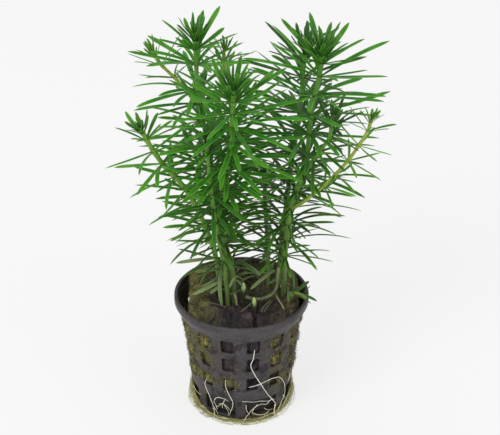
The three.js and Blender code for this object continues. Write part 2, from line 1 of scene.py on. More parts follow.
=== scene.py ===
# %% [markdown]
# # A potted stem plant, dressed for the camera
#
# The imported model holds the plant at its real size: a net pot, a plug of mineral wool, a mat of
# fine roots and the shoots, all as plain solids. This lesson reads the line of every stem, leaf
# and root back from those solids, and grows the real forms along them.

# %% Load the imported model
import json
import math
import random
from itertools import combinations

import bmesh
import bpy
import numpy as np
from mathutils import Matrix, Vector, kdtree, noise
from mathutils.bvhtree import BVHTree


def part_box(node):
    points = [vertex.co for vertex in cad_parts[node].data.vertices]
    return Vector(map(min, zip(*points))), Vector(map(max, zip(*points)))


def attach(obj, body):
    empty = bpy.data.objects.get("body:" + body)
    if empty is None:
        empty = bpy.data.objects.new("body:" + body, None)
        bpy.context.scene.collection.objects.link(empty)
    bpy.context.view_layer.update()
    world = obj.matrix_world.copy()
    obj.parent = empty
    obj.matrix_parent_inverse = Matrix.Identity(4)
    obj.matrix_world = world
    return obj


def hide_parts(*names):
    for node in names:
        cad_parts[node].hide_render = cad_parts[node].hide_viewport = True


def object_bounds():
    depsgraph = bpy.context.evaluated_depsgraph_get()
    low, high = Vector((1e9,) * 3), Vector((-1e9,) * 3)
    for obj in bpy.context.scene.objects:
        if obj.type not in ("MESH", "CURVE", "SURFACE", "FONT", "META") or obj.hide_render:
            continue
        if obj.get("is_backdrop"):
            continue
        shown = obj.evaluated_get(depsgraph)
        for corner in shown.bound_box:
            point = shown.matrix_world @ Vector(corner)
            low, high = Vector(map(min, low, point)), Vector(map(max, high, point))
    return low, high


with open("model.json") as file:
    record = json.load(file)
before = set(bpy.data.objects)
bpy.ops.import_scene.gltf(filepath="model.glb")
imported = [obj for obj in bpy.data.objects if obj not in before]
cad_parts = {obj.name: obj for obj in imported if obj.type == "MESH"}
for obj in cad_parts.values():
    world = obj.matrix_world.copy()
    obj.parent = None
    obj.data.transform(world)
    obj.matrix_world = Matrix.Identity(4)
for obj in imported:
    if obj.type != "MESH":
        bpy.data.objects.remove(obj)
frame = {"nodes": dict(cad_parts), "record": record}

MM = 0.001
noise.seed_set(5)  # so that every run gives the same noise
solid_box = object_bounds()


def in_mm(box):
    """A box's corners as numbers to print."""
    return [round(c / MM, 1) for corner in box for c in corner]


print("nodes:", len(frame["nodes"]), "box:", in_mm(solid_box))

# %% [markdown]
# ## Camera
#
# The photograph looks down on the pot at 33 degrees from 0.8 m, with a long lens. The rim's
# ellipse gives the angle, and the way the pot narrows gives the distance. The camera aims a bit
# over the pot, so that the plant fills the frame.

# %% Camera
CAMERA_DISTANCE = 0.8
CAMERA_ELEVATION = math.radians(33)
CAMERA_AIM = Vector((3.4, 0, 85.3)) * MM
LENS = 143.5
CLIP_START = 0.01
_, pot_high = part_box("net_pot")
camera = bpy.data.objects.new("camera", bpy.data.cameras.new("camera"))
bpy.context.scene.collection.objects.link(camera)
bpy.context.scene.camera = camera
camera.data.lens = LENS
camera.data.clip_start = CLIP_START
camera.location = (
    0,
    -CAMERA_DISTANCE * math.cos(CAMERA_ELEVATION),
    pot_high.z + CAMERA_DISTANCE * math.sin(CAMERA_ELEVATION),
)
camera.rotation_euler = (CAMERA_AIM - camera.location).to_track_quat("-Z", "Y").to_euler()
print("camera at", [round(c, 4) for c in camera.location])

# %% [markdown]
# ## Helpers for colour and nodes
#
# Colours are picked as sRGB hex values, as an eyedropper gives them. Blender's sockets take
# linear light, so one function converts them. A second one adds a node with its settings and
# links, for shaders and for Geometry Nodes alike.

# %% Colour and node helpers
def linear(hex_colour):
    """An sRGB hex colour as the linear RGBA that sockets take."""
    shares = [int(hex_colour[i : i + 2], 16) / 255 for i in (1, 3, 5)]
    return (*[c / 12.92 if c <= 0.04045 else ((c + 0.055) / 1.055) ** 2.4 for c in shares], 1.0)


def add(tree, kind, inputs=None, **settings):
    """A new node with its settings. Inputs, by name or number, are values or sockets to link."""
    node = tree.nodes.new(kind)
    for name, value in settings.items():
        setattr(node, name, value)
    for socket, value in (inputs or {}).items():
        if isinstance(value, bpy.types.NodeSocket):
            tree.links.new(value, node.inputs[socket])
        else:
            node.inputs[socket].default_value = value
    return node


def new_material(name):
    """A material with an empty tree and its Principled shader."""
    material = bpy.data.materials.new(name)
    material.use_nodes = True
    tree = material.node_tree
    return material, tree, tree.nodes["Principled BSDF"]


def ramp(tree, factor, stops):
    """A colour ramp over (place, hex colour) stops."""
    node = add(tree, "ShaderNodeValToRGB", {"Fac": factor})
    elements = node.color_ramp.elements
    for i, (place, colour) in enumerate(stops):
        element = elements[i] if i < 2 else elements.new(place)
        element.position = place
        element.color = linear(colour)
    return node.outputs["Color"]


def blend_colours(tree, factor, first, second):
    """Mixes two colours, which are sockets or hex values."""
    node = add(tree, "ShaderNodeMix", {0: factor}, data_type="RGBA")
    for number, colour in ((6, first), (7, second)):
        if isinstance(colour, str):
            node.inputs[number].default_value = linear(colour)
        else:
            tree.links.new(colour, node.inputs[number])
    return node.outputs[2]


def math_node(tree, operation, *values):
    node = add(tree, "ShaderNodeMath", dict(enumerate(values)), operation=operation)
    return node.outputs[0]


def times(tree, *values):
    """The product of two or more values."""
    product = values[0]
    for value in values[1:]:
        product = math_node(tree, "MULTIPLY", product, value)
    return product


def between(tree, value, low, high):
    """0 below low, 1 above high, smooth between them."""
    inputs = {"Value": value, "From Min": low, "From Max": high}
    return add(tree, "ShaderNodeMapRange", inputs, interpolation_type="SMOOTHSTEP").outputs[0]


def below(tree, value, low, high):
    """1 below low, 0 above high, smooth between them."""
    return math_node(tree, "SUBTRACT", 1.0, between(tree, value, low, high))


def tinted(tree, colour, tint, mask, share):
    """A colour that turns towards the tint where the mask is 1, by the share at most."""
    return blend_colours(tree, times(tree, mask, share), colour, tint)


# %% Skin helpers
def attribute(tree, name):
    return add(tree, "ShaderNodeAttribute", attribute_name=name).outputs["Fac"]


def vector(tree, **axes):
    return add(tree, "ShaderNodeCombineXYZ", axes).outputs[0]


def coordinates(tree):
    """The object coordinates, as sockets by the names of their axes."""
    place = add(tree, "ShaderNodeTexCoord").outputs["Object"]
    return add(tree, "ShaderNodeSeparateXYZ", {0: place}).outputs


def speckle(tree, size_mm, detail=2.0, stretch=(1, 1, 1)):
    """Noise over object coordinates, whose blobs are about size_mm across."""
    place = add(tree, "ShaderNodeTexCoord").outputs["Object"]
    stretched = add(tree, "ShaderNodeMapping", {"Vector": place, "Scale": stretch}).outputs[0]
    inputs = {"Vector": stretched, "Scale": 0.5 / (size_mm * MM), "Detail": detail}
    return add(tree, "ShaderNodeTexNoise", inputs).outputs["Fac"]


def paint(shader, colour, roughness):
    """Gives a shader its colour, from a socket, and its roughness."""
    shader.id_data.links.new(colour, shader.inputs["Base Color"])
    shader.inputs["Roughness"].default_value = roughness


def soak(shader, weight, depth_mm, shares):
    """Light that enters the skin and comes out again: how deep, for red, green and blue."""
    shader.inputs["Subsurface Weight"].default_value = weight
    shader.inputs["Subsurface Radius"].default_value = shares
    shader.inputs["Subsurface Scale"].default_value = depth_mm * MM


def bump(tree, shader, height, depth_mm):
    inputs = {"Height": height, "Strength": 1.0, "Distance": depth_mm * MM}
    tree.links.new(add(tree, "ShaderNodeBump", inputs).outputs[0], shader.inputs["Normal"])


# %% [markdown]
# ## Floor and light
#
# The plant stands on a light table: the ground is pale and lit from below, so that hardly a shadow
# shows on it. A bright even world does most of the rest. One large soft lamp from the upper left
# front gives the leaves a lit and a shaded side.

# %% Floor and light
FLOOR_HALF = 3.0
TABLE_GLOW = 0.75
WORLD_LIGHT = 0.72
LAMPS_AIM = Vector((0, 0, 80)) * MM
floor_mesh = bpy.data.meshes.new("floor")
corners = [(x * FLOOR_HALF, y * FLOOR_HALF, 0) for x, y in ((-1, -1), (1, -1), (1, 1), (-1, 1))]
floor_mesh.from_pydata(corners, [], [(0, 1, 2, 3)])
floor = bpy.data.objects.new("floor", floor_mesh)
bpy.context.scene.collection.objects.link(floor)
floor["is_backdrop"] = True
table, _, table_shader = new_material("opal glass light table")
table_shader.inputs["Base Color"].default_value = linear("#8c8c8c")
table_shader.inputs["Roughness"].default_value = 0.9
table_shader.inputs["Emission Color"].default_value = linear("#f4f4f4")
table_shader.inputs["Emission Strength"].default_value = TABLE_GLOW
floor_mesh.materials.append(table)

world = bpy.data.worlds.new("light tent")
bpy.context.scene.world = world
world.use_nodes = True
world.node_tree.nodes["Background"].inputs["Color"].default_value = linear("#fafafa")
world.node_tree.nodes["Background"].inputs["Strength"].default_value = WORLD_LIGHT

LAMPS = {
    "key lamp": {"place": (-0.7, -0.9, 1.1), "size": 0.8, "watts": 9.0},
    "fill lamp": {"place": (0.9, -0.7, 0.6), "size": 0.8, "watts": 2.0},
}
for lamp_name, lamp in LAMPS.items():
    light = bpy.data.objects.new(lamp_name, bpy.data.lights.new(lamp_name, "AREA"))
    bpy.context.scene.collection.objects.link(light)
    light.data.size = lamp["size"]
    light.data.energy = lamp["watts"]
    light.location = lamp["place"]
    towards_plant = LAMPS_AIM - light.location
    light.rotation_euler = towards_plant.to_track_quat("-Z", "Y").to_euler()
bpy.context.scene.view_settings.view_transform = "Standard"
print("lamps:", len(LAMPS))

# %% [markdown]
# ## Reading the plant back from its solids
#
# Each stem, leaf and root is already in the right place as a solid, so nothing is measured
# twice: the script reads the lines back from the solids' corners. The corners of a copy are
# merged first, because the imported mesh is loose triangles.
#
# A tube ends in a corner that is equally far from all its neighbours, the middle of its end cap.
# From there, each step to the next unseen neighbours is one ring of the tube. A leaf's tip is the
# only kind of corner with three neighbours, which are the left, right and keel of its bend.

# %% Read lines and leaves from the solids
def merged_form(node_name):
    """A bmesh copy of a node with its doubled corners merged."""
    form = bmesh.new()
    form.from_mesh(frame["nodes"][node_name].data)
    bmesh.ops.remove_doubles(form, verts=form.verts, dist=0.001 * MM)
    form.verts.index_update()
    return form


def in_order(corners):
    """The corners of a set in the same order in every run."""
    return sorted(corners, key=lambda corner: corner.index)


def neighbours(corner):
    return [edge.other_vert(corner) for edge in corner.link_edges]


def middle(corners):
    return sum((c.co for c in corners), Vector()) / len(corners)


def read_rings(form, leafy):
    """The (middle, radius) of each ring of a tube, from its lower end."""
    ends = []
    for corner in form.verts:
        lengths = [edge.calc_length() for edge in corner.link_edges]
        if corner not in leafy and max(lengths) - min(lengths) < 0.002 * MM:
            ends.append(corner)
    seen = set(leafy)
    ring = [min(ends, key=lambda corner: corner.co.z)]
    rings = []
    while ring:
        seen.update(ring)
        centre = middle(ring)
        rings.append((centre, sum((c.co - centre).length for c in ring) / len(ring)))
        ring = in_order({n for corner in ring for n in neighbours(corner)} - seen)
    return rings


def read_leaf(tip):
    """A leaf's foot, bend and tip, its half width, the way up, and its corners."""
    bend = neighbours(tip)
    left, right = max(combinations(bend, 2), key=lambda pair: (pair[0].co - pair[1].co).length)
    (keel,) = set(bend) - {left, right}
    foot = {n for corner in bend for n in neighbours(corner)} - {tip, *bend}
    leaf = {
        "foot": middle(in_order(foot)),
        "bend": (left.co + right.co) / 2,
        "tip": tip.co.copy(),
        "half": (left.co - right.co).length / 2,
    }
    leaf["up"] = (leaf["bend"] - keel.co).normalized()
    return leaf, {tip, *bend}


def read_shoot(node_name):
    """A shoot's stem rings from foot to bud, and its leaves."""
    form = merged_form(node_name)
    leaves = []
    leafy = set()
    for corner in form.verts:
        if len(corner.link_edges) == 3:
            leaf, corners = read_leaf(corner)
            leaves.append(leaf)
            leafy |= corners
    rings = read_rings(form, leafy)
    form.free()
    return rings, leaves


def read_tube(node_name):
    form = merged_form(node_name)
    rings = read_rings(form, set())
    form.free()
    return rings


SHOOTS = [name for name in frame["nodes"] if name.startswith("shoot_")]
ROOTS = [name for name in frame["nodes"] if name.startswith("root_") and name != "root_mat"]
CUT_STEMS = ["bent_stem", "cut_stub_back", "cut_stub_front"]
shoots = {name: read_shoot(name) for name in SHOOTS}
for name, (rings, leaves) in shoots.items():
    print(name, "rings:", len(rings), "leaves:", len(leaves))

# %% [markdown]
# ## Growing forms along lines
#
# Stems, roots, fibres and leaves are all an outline swept along a line. Geometry Nodes do this
# well: the script lays down bare lines as a mesh of edges, with values on their points, and one
# tree turns them into tubes and another into leaf blades. Each tree ends in Realize Instances
# and Set Material, and the result is kept as a plain mesh.

# %% Lines as meshes, and how a tree is run
def smooth_line(points, step):
    """Points about every step along a smooth curve through the given ones, with their places.

    A place counts the given points: 2.5 is halfway between the third and the fourth."""
    ends = [points[0] * 2 - points[1], *points, points[-1] * 2 - points[-2]]
    line = []
    for i in range(1, len(ends) - 2):
        a, b, c, d = ends[i - 1 : i + 3]
        count = max(1, round((c - b).length / step))
        for k in range(count + (i == len(ends) - 3)):
            t = k / count
            bent = a * (-t + 2 * t * t - t**3) + b * (2 - 5 * t * t + 3 * t**3)
            bent += c * (t + 4 * t * t - 3 * t**3) + d * (t**3 - t * t)
            line.append((bent / 2, i - 1 + t))
    return line


def line_mesh(name, lines):
    """A mesh of open lines. Each line is a list of points: dicts of the place, "at", and values."""
    points = [point for line in lines for point in line]
    edges = []
    for line in lines:
        start = edges[-1][1] + 1 if edges else 0
        edges += [(start + i, start + i + 1) for i in range(len(line) - 1)]
    mesh = bpy.data.meshes.new(name)
    mesh.from_pydata([point["at"] for point in points], edges, [])
    for key in points[0]:
        if key == "at":
            continue
        values = np.array([point[key] for point in points], np.float32)
        kind = ("FLOAT_VECTOR", "vector") if values.ndim == 2 else ("FLOAT", "value")
        mesh.attributes.new(key, kind[0], "POINT").data.foreach_set(kind[1], values.ravel())
    return mesh


def grow(name, start_mesh, tree, **sizes):
    """A plain object at the origin, with the mesh that the tree makes of the start mesh."""
    carrier = bpy.data.objects.new(name + " start", start_mesh)
    bpy.context.scene.collection.objects.link(carrier)
    modifier = carrier.modifiers.new("grow", "NODES")
    modifier.node_group = tree
    for item in tree.interface.items_tree:
        if item.in_out == "INPUT" and item.name in sizes:
            modifier[item.identifier] = sizes[item.name]
    graph = bpy.context.evaluated_depsgraph_get()
    grown = carrier.evaluated_get(graph)
    mesh = bpy.data.meshes.new_from_object(grown, preserve_all_data_layers=True, depsgraph=graph)
    bpy.data.objects.remove(carrier)
    mesh.name = name
    piece = bpy.data.objects.new(name, mesh)
    bpy.context.scene.collection.objects.link(piece)
    return piece


def dress(piece, slot, *nodes):
    """Puts a finished piece on the root body and hides these nodes; the slot is not used."""
    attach(piece, "root")
    if nodes:
        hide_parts(*nodes)
    print(piece.name, "triangles:", sum(len(face.vertices) - 2 for face in piece.data.polygons))


# %% Parts that the trees share
def new_tree(name, **inputs):
    """A Geometry Nodes tree with a mesh and the named inputs, and its first and last node."""
    tree = bpy.data.node_groups.new(name, "GeometryNodeTree")
    tree.interface.new_socket("Mesh", in_out="INPUT", socket_type="NodeSocketGeometry")
    for socket_name, kind in inputs.items():
        readable = socket_name.replace("_", " ")
        tree.interface.new_socket(readable, in_out="INPUT", socket_type="NodeSocket" + kind)
    tree.interface.new_socket("Mesh", in_out="OUTPUT", socket_type="NodeSocketGeometry")
    return tree, tree.nodes.new("NodeGroupInput").outputs, tree.nodes.new("NodeGroupOutput")


def named(tree, name, kind="FLOAT"):
    return add(tree, "GeometryNodeInputNamedAttribute", {"Name": name}, data_type=kind).outputs[0]


def store(tree, geometry, name, value, **settings):
    """The geometry with a value stored on it under a name."""
    inputs = {"Geometry": geometry, "Name": name, "Value": value}
    node = add(tree, "GeometryNodeStoreNamedAttribute", inputs, data_type="FLOAT", **settings)
    return node.outputs[0]


def circle(tree, sides, radius=1.0):
    inputs = {"Resolution": sides, "Radius": radius}
    return add(tree, "GeometryNodeCurvePrimitiveCircle", inputs).outputs[0]


def sweep(tree, curve, section, **scale):
    """A closed body: the section swept along the curve."""
    inputs = {"Curve": curve, "Profile Curve": section, "Fill Caps": True, **scale}
    return add(tree, "GeometryNodeCurveToMesh", inputs).outputs[0]


def finish_tree(tree, geometry, material, out):
    """Smooth shading, Realize Instances and Set Material, which end every tree here."""
    smooth = add(tree, "GeometryNodeSetShadeSmooth", {"Geometry": geometry}).outputs[0]
    real = add(tree, "GeometryNodeRealizeInstances", {"Geometry": smooth}).outputs[0]
    painted = add(tree, "GeometryNodeSetMaterial", {"Geometry": real, "Material": material})
    tree.links.new(painted.outputs[0], out.inputs[0])


# %% Tree: tubes along lines
def build_tube_tree():
    """Round tubes whose radius is the lines' own value "radius", with a lumpy skin."""
    sizes = {"sides": "Int", "lump_height": "Float", "lump_size": "Float", "material": "Material"}
    tree, given, out = new_tree("tubes along lines", **sizes)
    curve = add(tree, "GeometryNodeMeshToCurve", {"Mesh": given["Mesh"]}).outputs[0]
    swept = sweep(tree, curve, circle(tree, given["sides"]), Scale=named(tree, "radius"))
    finer = math_node(tree, "DIVIDE", 0.5, given["lump size"])
    lumps = add(tree, "ShaderNodeTexNoise", {"Scale": finer, "Detail": 1.0}).outputs["Fac"]
    rise = math_node(tree, "SUBTRACT", lumps, 0.5)
    push = times(tree, rise, given["lump height"])
    normal = add(tree, "GeometryNodeInputNormal").outputs[0]
    offset = add(tree, "ShaderNodeVectorMath", {0: normal, "Scale": push}, operation="SCALE")
    inputs = {"Geometry": swept, "Offset": offset.outputs[0]}
    lumpy = add(tree, "GeometryNodeSetPosition", inputs).outputs[0]
    finish_tree(tree, lumpy, given["material"], out)
    return tree


def tube(sides, lump_height_mm, lump_size_mm, material):
    """The inputs of the tube tree."""
    sizes = {"sides": sides, "lump height": lump_height_mm * MM, "lump size": lump_size_mm * MM}
    return {**sizes, "material": material}


tube_tree = build_tube_tree()


# %% Tree: leaf blades
LEAF_SIDES = 8
LEAF_OUTLINE = [  # place from foot to tip, and width. The curve starts with its two ends.
    (0, 0.5), (1, 0.12), (0.1, 0.64), (0.3, 0.88),
    (0.58, 1.0), (0.8, 0.95), (0.92, 0.7), (0.97, 0.45),
]
BLADE_THICKNESS = 0.2  # both as shares of the leaf's half width
BLADE_FOLD = 0.3


def build_blade_tree():
    """Leaf blades: a folded lens swept along each midrib and turned by its "side".

    The blade is as wide as the midrib's "half" says, times the leaf's outline from foot to tip."""
    sizes = {"thickness": "Float", "fold": "Float", "material": "Material"}
    tree, given, out = new_tree("leaf blades", **sizes)
    curve = add(tree, "GeometryNodeMeshToCurve", {"Mesh": given["Mesh"]}).outputs[0]
    side = named(tree, "side", "FLOAT_VECTOR")
    turned = add(tree, "GeometryNodeSetCurveNormal", {"Curve": curve, "Normal": side}, mode="FREE")
    factor = add(tree, "GeometryNodeSplineParameter").outputs["Factor"]
    marked = store(tree, turned.outputs[0], "along", factor)

    outline = add(tree, "ShaderNodeFloatCurve", {"Value": factor})
    points = outline.mapping.curves[0].points
    for i, (place, share) in enumerate(LEAF_OUTLINE):
        point = points[i] if i < 2 else points.new(place, share)
        point.location = (place, share)
    outline.mapping.update()
    width = times(tree, outline.outputs[0], named(tree, "half"))

    place = add(tree, "GeometryNodeInputPosition").outputs[0]
    axes = add(tree, "ShaderNodeSeparateXYZ", {0: place}).outputs
    measured = store(tree, circle(tree, LEAF_SIDES), "across", axes["X"])
    lens = times(tree, axes["Y"], given["thickness"])
    folded = times(tree, math_node(tree, "ABSOLUTE", axes["X"]), given["fold"])
    shape = vector(tree, X=axes["X"], Y=math_node(tree, "SUBTRACT", lens, folded))
    inputs = {"Geometry": measured, "Position": shape}
    section = add(tree, "GeometryNodeSetPosition", inputs).outputs[0]
    finish_tree(tree, sweep(tree, marked, section, Scale=width), given["material"], out)
    return tree


def blade(material):
    """The inputs of the blade tree."""
    return {"thickness": BLADE_THICKNESS, "fold": BLADE_FOLD, "material": material}


blade_tree = build_blade_tree()
print("trees:", tube_tree.name, "and", blade_tree.name)

# %% [markdown]
# ## Leaf and stem materials
#
# A water plant's leaf is thin, soft and wet, with a smooth skin that gives a low sheen. Light
# passes through it a little. Its colour runs from a dark green in the young crown, partly painted
# shade of the dense crown, over a fresh green to a dull olive one low on the stem. The margins and
# some patches are yellower, the margins partly as a painted highlight, and the blade is yellower
# to the tip, partly as painted light. The midrib and the leaf's foot carry painted shade, and the
# very tip is often brown.

# %% Leaf material
WET_ROUGHNESS = 0.45
WET_IOR = 1.42


def leaf_material(name, crown, fresh, old, tip):
    """Smooth leaf skin: its colours at the crown, darkened as painted shade, below it, far down and
    at the margins.
    """
    material, tree, shader = new_material(name)
    along = attribute(tree, "along")
    tone = attribute(tree, "tone")
    rib = math_node(tree, "ABSOLUTE", attribute(tree, "across"))
    # The crown's dark green is partly painted shade of the dense young leaves.
    ages = [(0.0, crown), (1.0, old), (0.12, fresh), (0.4, fresh)]
    by_age = ramp(tree, attribute(tree, "age"), ages)
    shade = add(tree, "ShaderNodeHueSaturation", {"Color": by_age})
    tree.links.new(math_node(tree, "MULTIPLY_ADD", tone, 0.7, 0.6), shade.inputs["Value"])
    tree.links.new(math_node(tree, "MULTIPLY_ADD", tone, -0.03, 0.515), shade.inputs["Hue"])
    patches = between(tree, speckle(tree, 3.0), 0.42, 0.68)
    brown = times(tree, between(tree, along, 0.93, 1.0), between(tree, tone, 0.3, 0.6))
    colour = tinted(tree, shade.outputs[0], tip, patches, 0.4)
    colour = tinted(tree, colour, tip, between(tree, along, 0.3, 1.0), 0.3)  # yellower to the tip, partly painted light
    colour = tinted(tree, colour, crown, below(tree, rib, 0.15, 0.55), 0.25)  # painted shade along the midrib, in the fold of the blade
    colour = tinted(tree, colour, tip, between(tree, rib, 0.62, 0.95), 0.75)  # paler at the margins: the leaf's own edge and a painted highlight
    colour = tinted(tree, colour, old, below(tree, along, 0.0, 0.25), 0.35)  # painted shade at the foot, near the stem
    colour = tinted(tree, colour, "#4a4a22", brown, 0.6)  # at the very tip of some leaves
    paint(shader, colour, WET_ROUGHNESS)
    shader.inputs["IOR"].default_value = WET_IOR
    shader.inputs["Specular IOR Level"].default_value = 0.3
    soak(shader, 0.15, 0.6, (0.45, 1.0, 0.1))
    vein = below(tree, rib, 0.0, 0.22)
    bump(tree, shader, math_node(tree, "ADD", vein, speckle(tree, 0.5)), 0.05)
    return material


LEAF_LOOKS = {
    "leaf_green": leaf_material("smooth leaf skin", "#185022", "#348c1a", "#465c2a", "#70b036"),
    "leaf_pale": leaf_material("smooth pale leaf skin", "#22621e", "#42901e", "#426c26", "#84b63e"),
    "leaf_dark": leaf_material("smooth dark leaf skin", "#185022", "#2e701e", "#485232", "#587e32"),
}
dull_leaf = leaf_material("smooth dull leaf skin", "#5c7048", "#647a48", "#5c6448", "#90a46a")
print("leaf materials:", sorted(LEAF_LOOKS), dull_leaf.name)


# %% Stem material
def stem_material(name, foot, low, high, streak):
    """Smooth stem skin: dull low down, greener above, with a yellow tinge at each whorl."""
    material, tree, shader = new_material(name)
    colour = ramp(tree, attribute(tree, "height"), [(0.3, foot), (0.75, high), (0.5, low)])
    spots = between(tree, speckle(tree, 2.0), 0.4, 0.6)
    tinge = times(tree, attribute(tree, "whorl"), spots)
    colour = tinted(tree, colour, "#8f9a3a", tinge, 0.3)
    streaks = between(tree, speckle(tree, 0.6, stretch=(1, 1, 0.12)), 0.35, 0.7)
    paint(shader, tinted(tree, colour, streak, streaks, 0.4), WET_ROUGHNESS)
    shader.inputs["IOR"].default_value = WET_IOR
    soak(shader, 0.1, 0.8, (0.6, 1.0, 0.2))
    bump(tree, shader, streaks, 0.08)
    return material


stem_skin = stem_material("smooth stem skin", "#6c7c46", "#68943c", "#68a03c", "#4c7032")
young_skin = stem_material("smooth young stem skin", "#6c7c46", "#8aa23c", "#9cb040", "#708c38")
bright_skin = stem_material("smooth bright stem skin", "#6c7c46", "#70a038", "#7cae3c", "#50802e")
STEM_LOOKS = {
    "leaf_green": stem_skin,
    "leaf_dark": stem_skin,
    "leaf_pale": young_skin,
    "shoot_left_leaning": bright_skin,
}
print("stem materials:", sorted({look.name for look in STEM_LOOKS.values()}))

# %% [markdown]
# ## Shoots
#
# Each shoot gives two pieces, its stem and its leaves. The stem follows the middles of the
# solid's rings and swells a little at each whorl. A leaf's midrib is the smooth arc through its
# foot, bend and tip. Between two leaves of a whorl stands a shorter one, and a few small upright
# leaves close the crown: these are too small and too many for the solids.

# %% Stems
STEM_STEP = 0.7 * MM
WHORL_SWELL = 0.2  # how much thicker the stem is at a whorl
SWELL_REACH = 1.0 * MM
THINNEST_STEM = 0.3 * MM
WHORL_REACH = 0.7 * MM  # a leaf whose foot is this near to the stem's skin stands on that ring


def stem_line(rings, leaves):
    """The stem's points from foot to bud, thicker where leaves stand."""
    whorls = [i for i, ring in enumerate(rings) if any(near(leaf["foot"], ring) for leaf in leaves)]
    line = []
    radii = [max(radius, THINNEST_STEM) for _, radius in rings]
    for at, place in smooth_line([centre for centre, _ in rings], STEM_STEP):
        radius = np.interp(place, range(len(rings)), radii)
        reach = min([(at - rings[i][0]).length for i in whorls], default=1.0)
        swell = math.exp(-((reach / SWELL_REACH) ** 2))
        radius *= 1 + WHORL_SWELL * swell
        line.append({"at": at, "radius": radius, "whorl": swell, "height": at.z / solid_box[1].z})
    return line


def near(foot, ring):
    return (foot - ring[0]).length < ring[1] + WHORL_REACH


slots = {row["node"]: row["material_slot"] for row in frame["record"]["subparts"]}
for name, (rings, leaves) in shoots.items():
    lines = line_mesh(name, [stem_line(rings, leaves)])
    skin = STEM_LOOKS.get(name, STEM_LOOKS[slots[name]])
    dress(grow(name + "_stem", lines, tube_tree, **tube(10, 0.25, 1.6, skin)), "bare_stem", name)

# %% The midrib of a leaf
MIDRIB_POINTS = 12
LEAF_TWIST = math.radians(35)
LEAF_SWAY = 0.05  # how far a leaf bends to a side, and up or down, as a share of its length
LEAF_ARCH = 0.03
SHADE_DARKER = 0.35  # painted shade: how much darker an old leaf of a shoot in shade is painted besides


def midrib(leaf, age, draw, shade_share=0.0):
    """A leaf's points from foot to tip: an arc through its bend, a bit to one side, and twisted."""
    foot, bend, tip = leaf["foot"], leaf["bend"], leaf["tip"]
    pull = bend * 2 - (foot + tip) / 2
    side = (bend - foot).cross(leaf["up"]).normalized()
    length = (tip - foot).length
    sway = draw.uniform(-LEAF_SWAY, LEAF_SWAY) * length
    arch = draw.uniform(-LEAF_ARCH, LEAF_ARCH) * length
    twist = draw.uniform(-LEAF_TWIST, LEAF_TWIST)
    # Painted shade: the old leaves of shoots that stand in shade get a darker tone.
    tone = draw.random() * (1 - shade_share * age) - SHADE_DARKER * shade_share * age
    line = []
    for i in range(MIDRIB_POINTS):
        t = i / (MIDRIB_POINTS - 1)
        at = foot * (1 - t) ** 2 + pull * 2 * t * (1 - t) + tip * t * t
        along = (pull - foot).lerp(tip - pull, t).normalized()
        turned = Matrix.Rotation(twist * t, 3, along) @ side
        at += (side * sway + leaf["up"] * arch) * math.sin(math.pi * t)
        line.append({"at": at, "side": turned, "half": leaf["half"], "age": age, "tone": tone})
    return line


# %% Leaves beside the main ones and in the crown
SIBLING_NARROWEST = 0.6  # share of the main leaf's width that the shortest would have
CROWN_HALF = 0.52 * MM
CROWN_TURN = 2.4  # from one leaf of the crown to the next, in radians
CROWN_RISE = 45  # how steep the outer leaves of the crown stand, in degrees
CROWN_STEEPER = 38  # how much steeper the inner ones stand
CROWN_LOOSE = 8


def turned_leaf(leaf, pivot, axis, angle, share):
    """A copy of a leaf turned round the stem and made shorter."""
    turn = Matrix.Rotation(angle, 3, axis)
    foot = pivot + turn @ (leaf["foot"] - pivot)
    half = leaf["half"] * (SIBLING_NARROWEST + (1 - SIBLING_NARROWEST) * share)
    copy = {"foot": foot, "up": turn @ leaf["up"], "half": half}
    for key in ("bend", "tip"):
        copy[key] = foot + (turn @ (leaf[key] - leaf["foot"])) * share
    return copy


def crown_leaves(rings, longest, count, draw):
    """Small upright leaves that close the crown."""
    top = rings[-1][0]
    axis = (top - rings[-3][0]).normalized()
    across = axis.orthogonal().normalized()
    for i in range(count):
        outward = Matrix.Rotation(i * CROWN_TURN, 3, axis) @ across
        steep = CROWN_RISE + CROWN_STEEPER * i / count
        rise = math.radians(steep + draw.uniform(-CROWN_LOOSE, CROWN_LOOSE))
        first = outward * math.cos(rise) + axis * math.sin(rise)
        length = longest * (0.4 - 0.2 * i / count) * draw.uniform(0.8, 1.1)
        foot = top - axis * (1.6 - 0.15 * i) * MM + outward * 0.3 * MM
        up = first.cross(axis.cross(outward)).normalized()
        bend = foot + first * length / 2
        tip = bend + (first + axis * 0.25).normalized() * length / 2
        yield {"foot": foot, "bend": bend, "tip": tip, "half": CROWN_HALF, "up": up}


# %% The leaves of each shoot
OLD_AT = 80 * MM  # leaves this far down the stem have the old colour
OLD_NARROW = 0.3  # how much narrower they are, counted from halfway down
SIBLING_SHARE = (0.5, 0.95)  # length of the leaves between the main ones
SIBLING_TURN = math.pi / 7  # round the stem, from the main leaf
SIBLING_LOOSE = 0.12  # how far that turn varies, in radians
CROWN_SHADE = 0.35  # painted shade: how dark the crown's small leaves are painted, for the shade in the dense crown
# The share of leaves with another beside them, the leaves' width, the number of small ones in the
# crown, how much darker the old leaves are painted as shade, and the least age that the leaves
# count as
FULL_HABIT = {"beside": 0.9, "wide": 1.0, "crown": 9, "shade_share": 0.2}
HABITS = {
    "shoot_right_tall": {"beside": 0.9, "wide": 1.0, "crown": 9, "shade_share": 0.8},
    "shoot_right_back": {"beside": 0.9, "wide": 0.95, "crown": 9, "shade_share": 0.8},
    "shoot_left_leaning": {"beside": 0.15, "wide": 0.9, "crown": 7},
    "shoot_left_side": {"beside": 0.0, "wide": 0.62, "crown": 6},
    "shoot_left_inner": {"beside": 0.2, "wide": 0.62, "crown": 7},
    "shoot_right_thin": {"beside": 0.0, "wide": 0.62, "crown": 6},
    "shoot_right_dark": {"beside": 0.3, "wide": 0.75, "crown": 7},
    "shoot_left_low": {"beside": 0.5, "wide": 0.8, "crown": 6},
    "shoot_middle_back": {"beside": 0.6, "wide": 0.75, "crown": 6},
    "shoot_right_low": {"beside": 0.0, "wide": 1.0, "crown": 0, "age": 0.55},
}


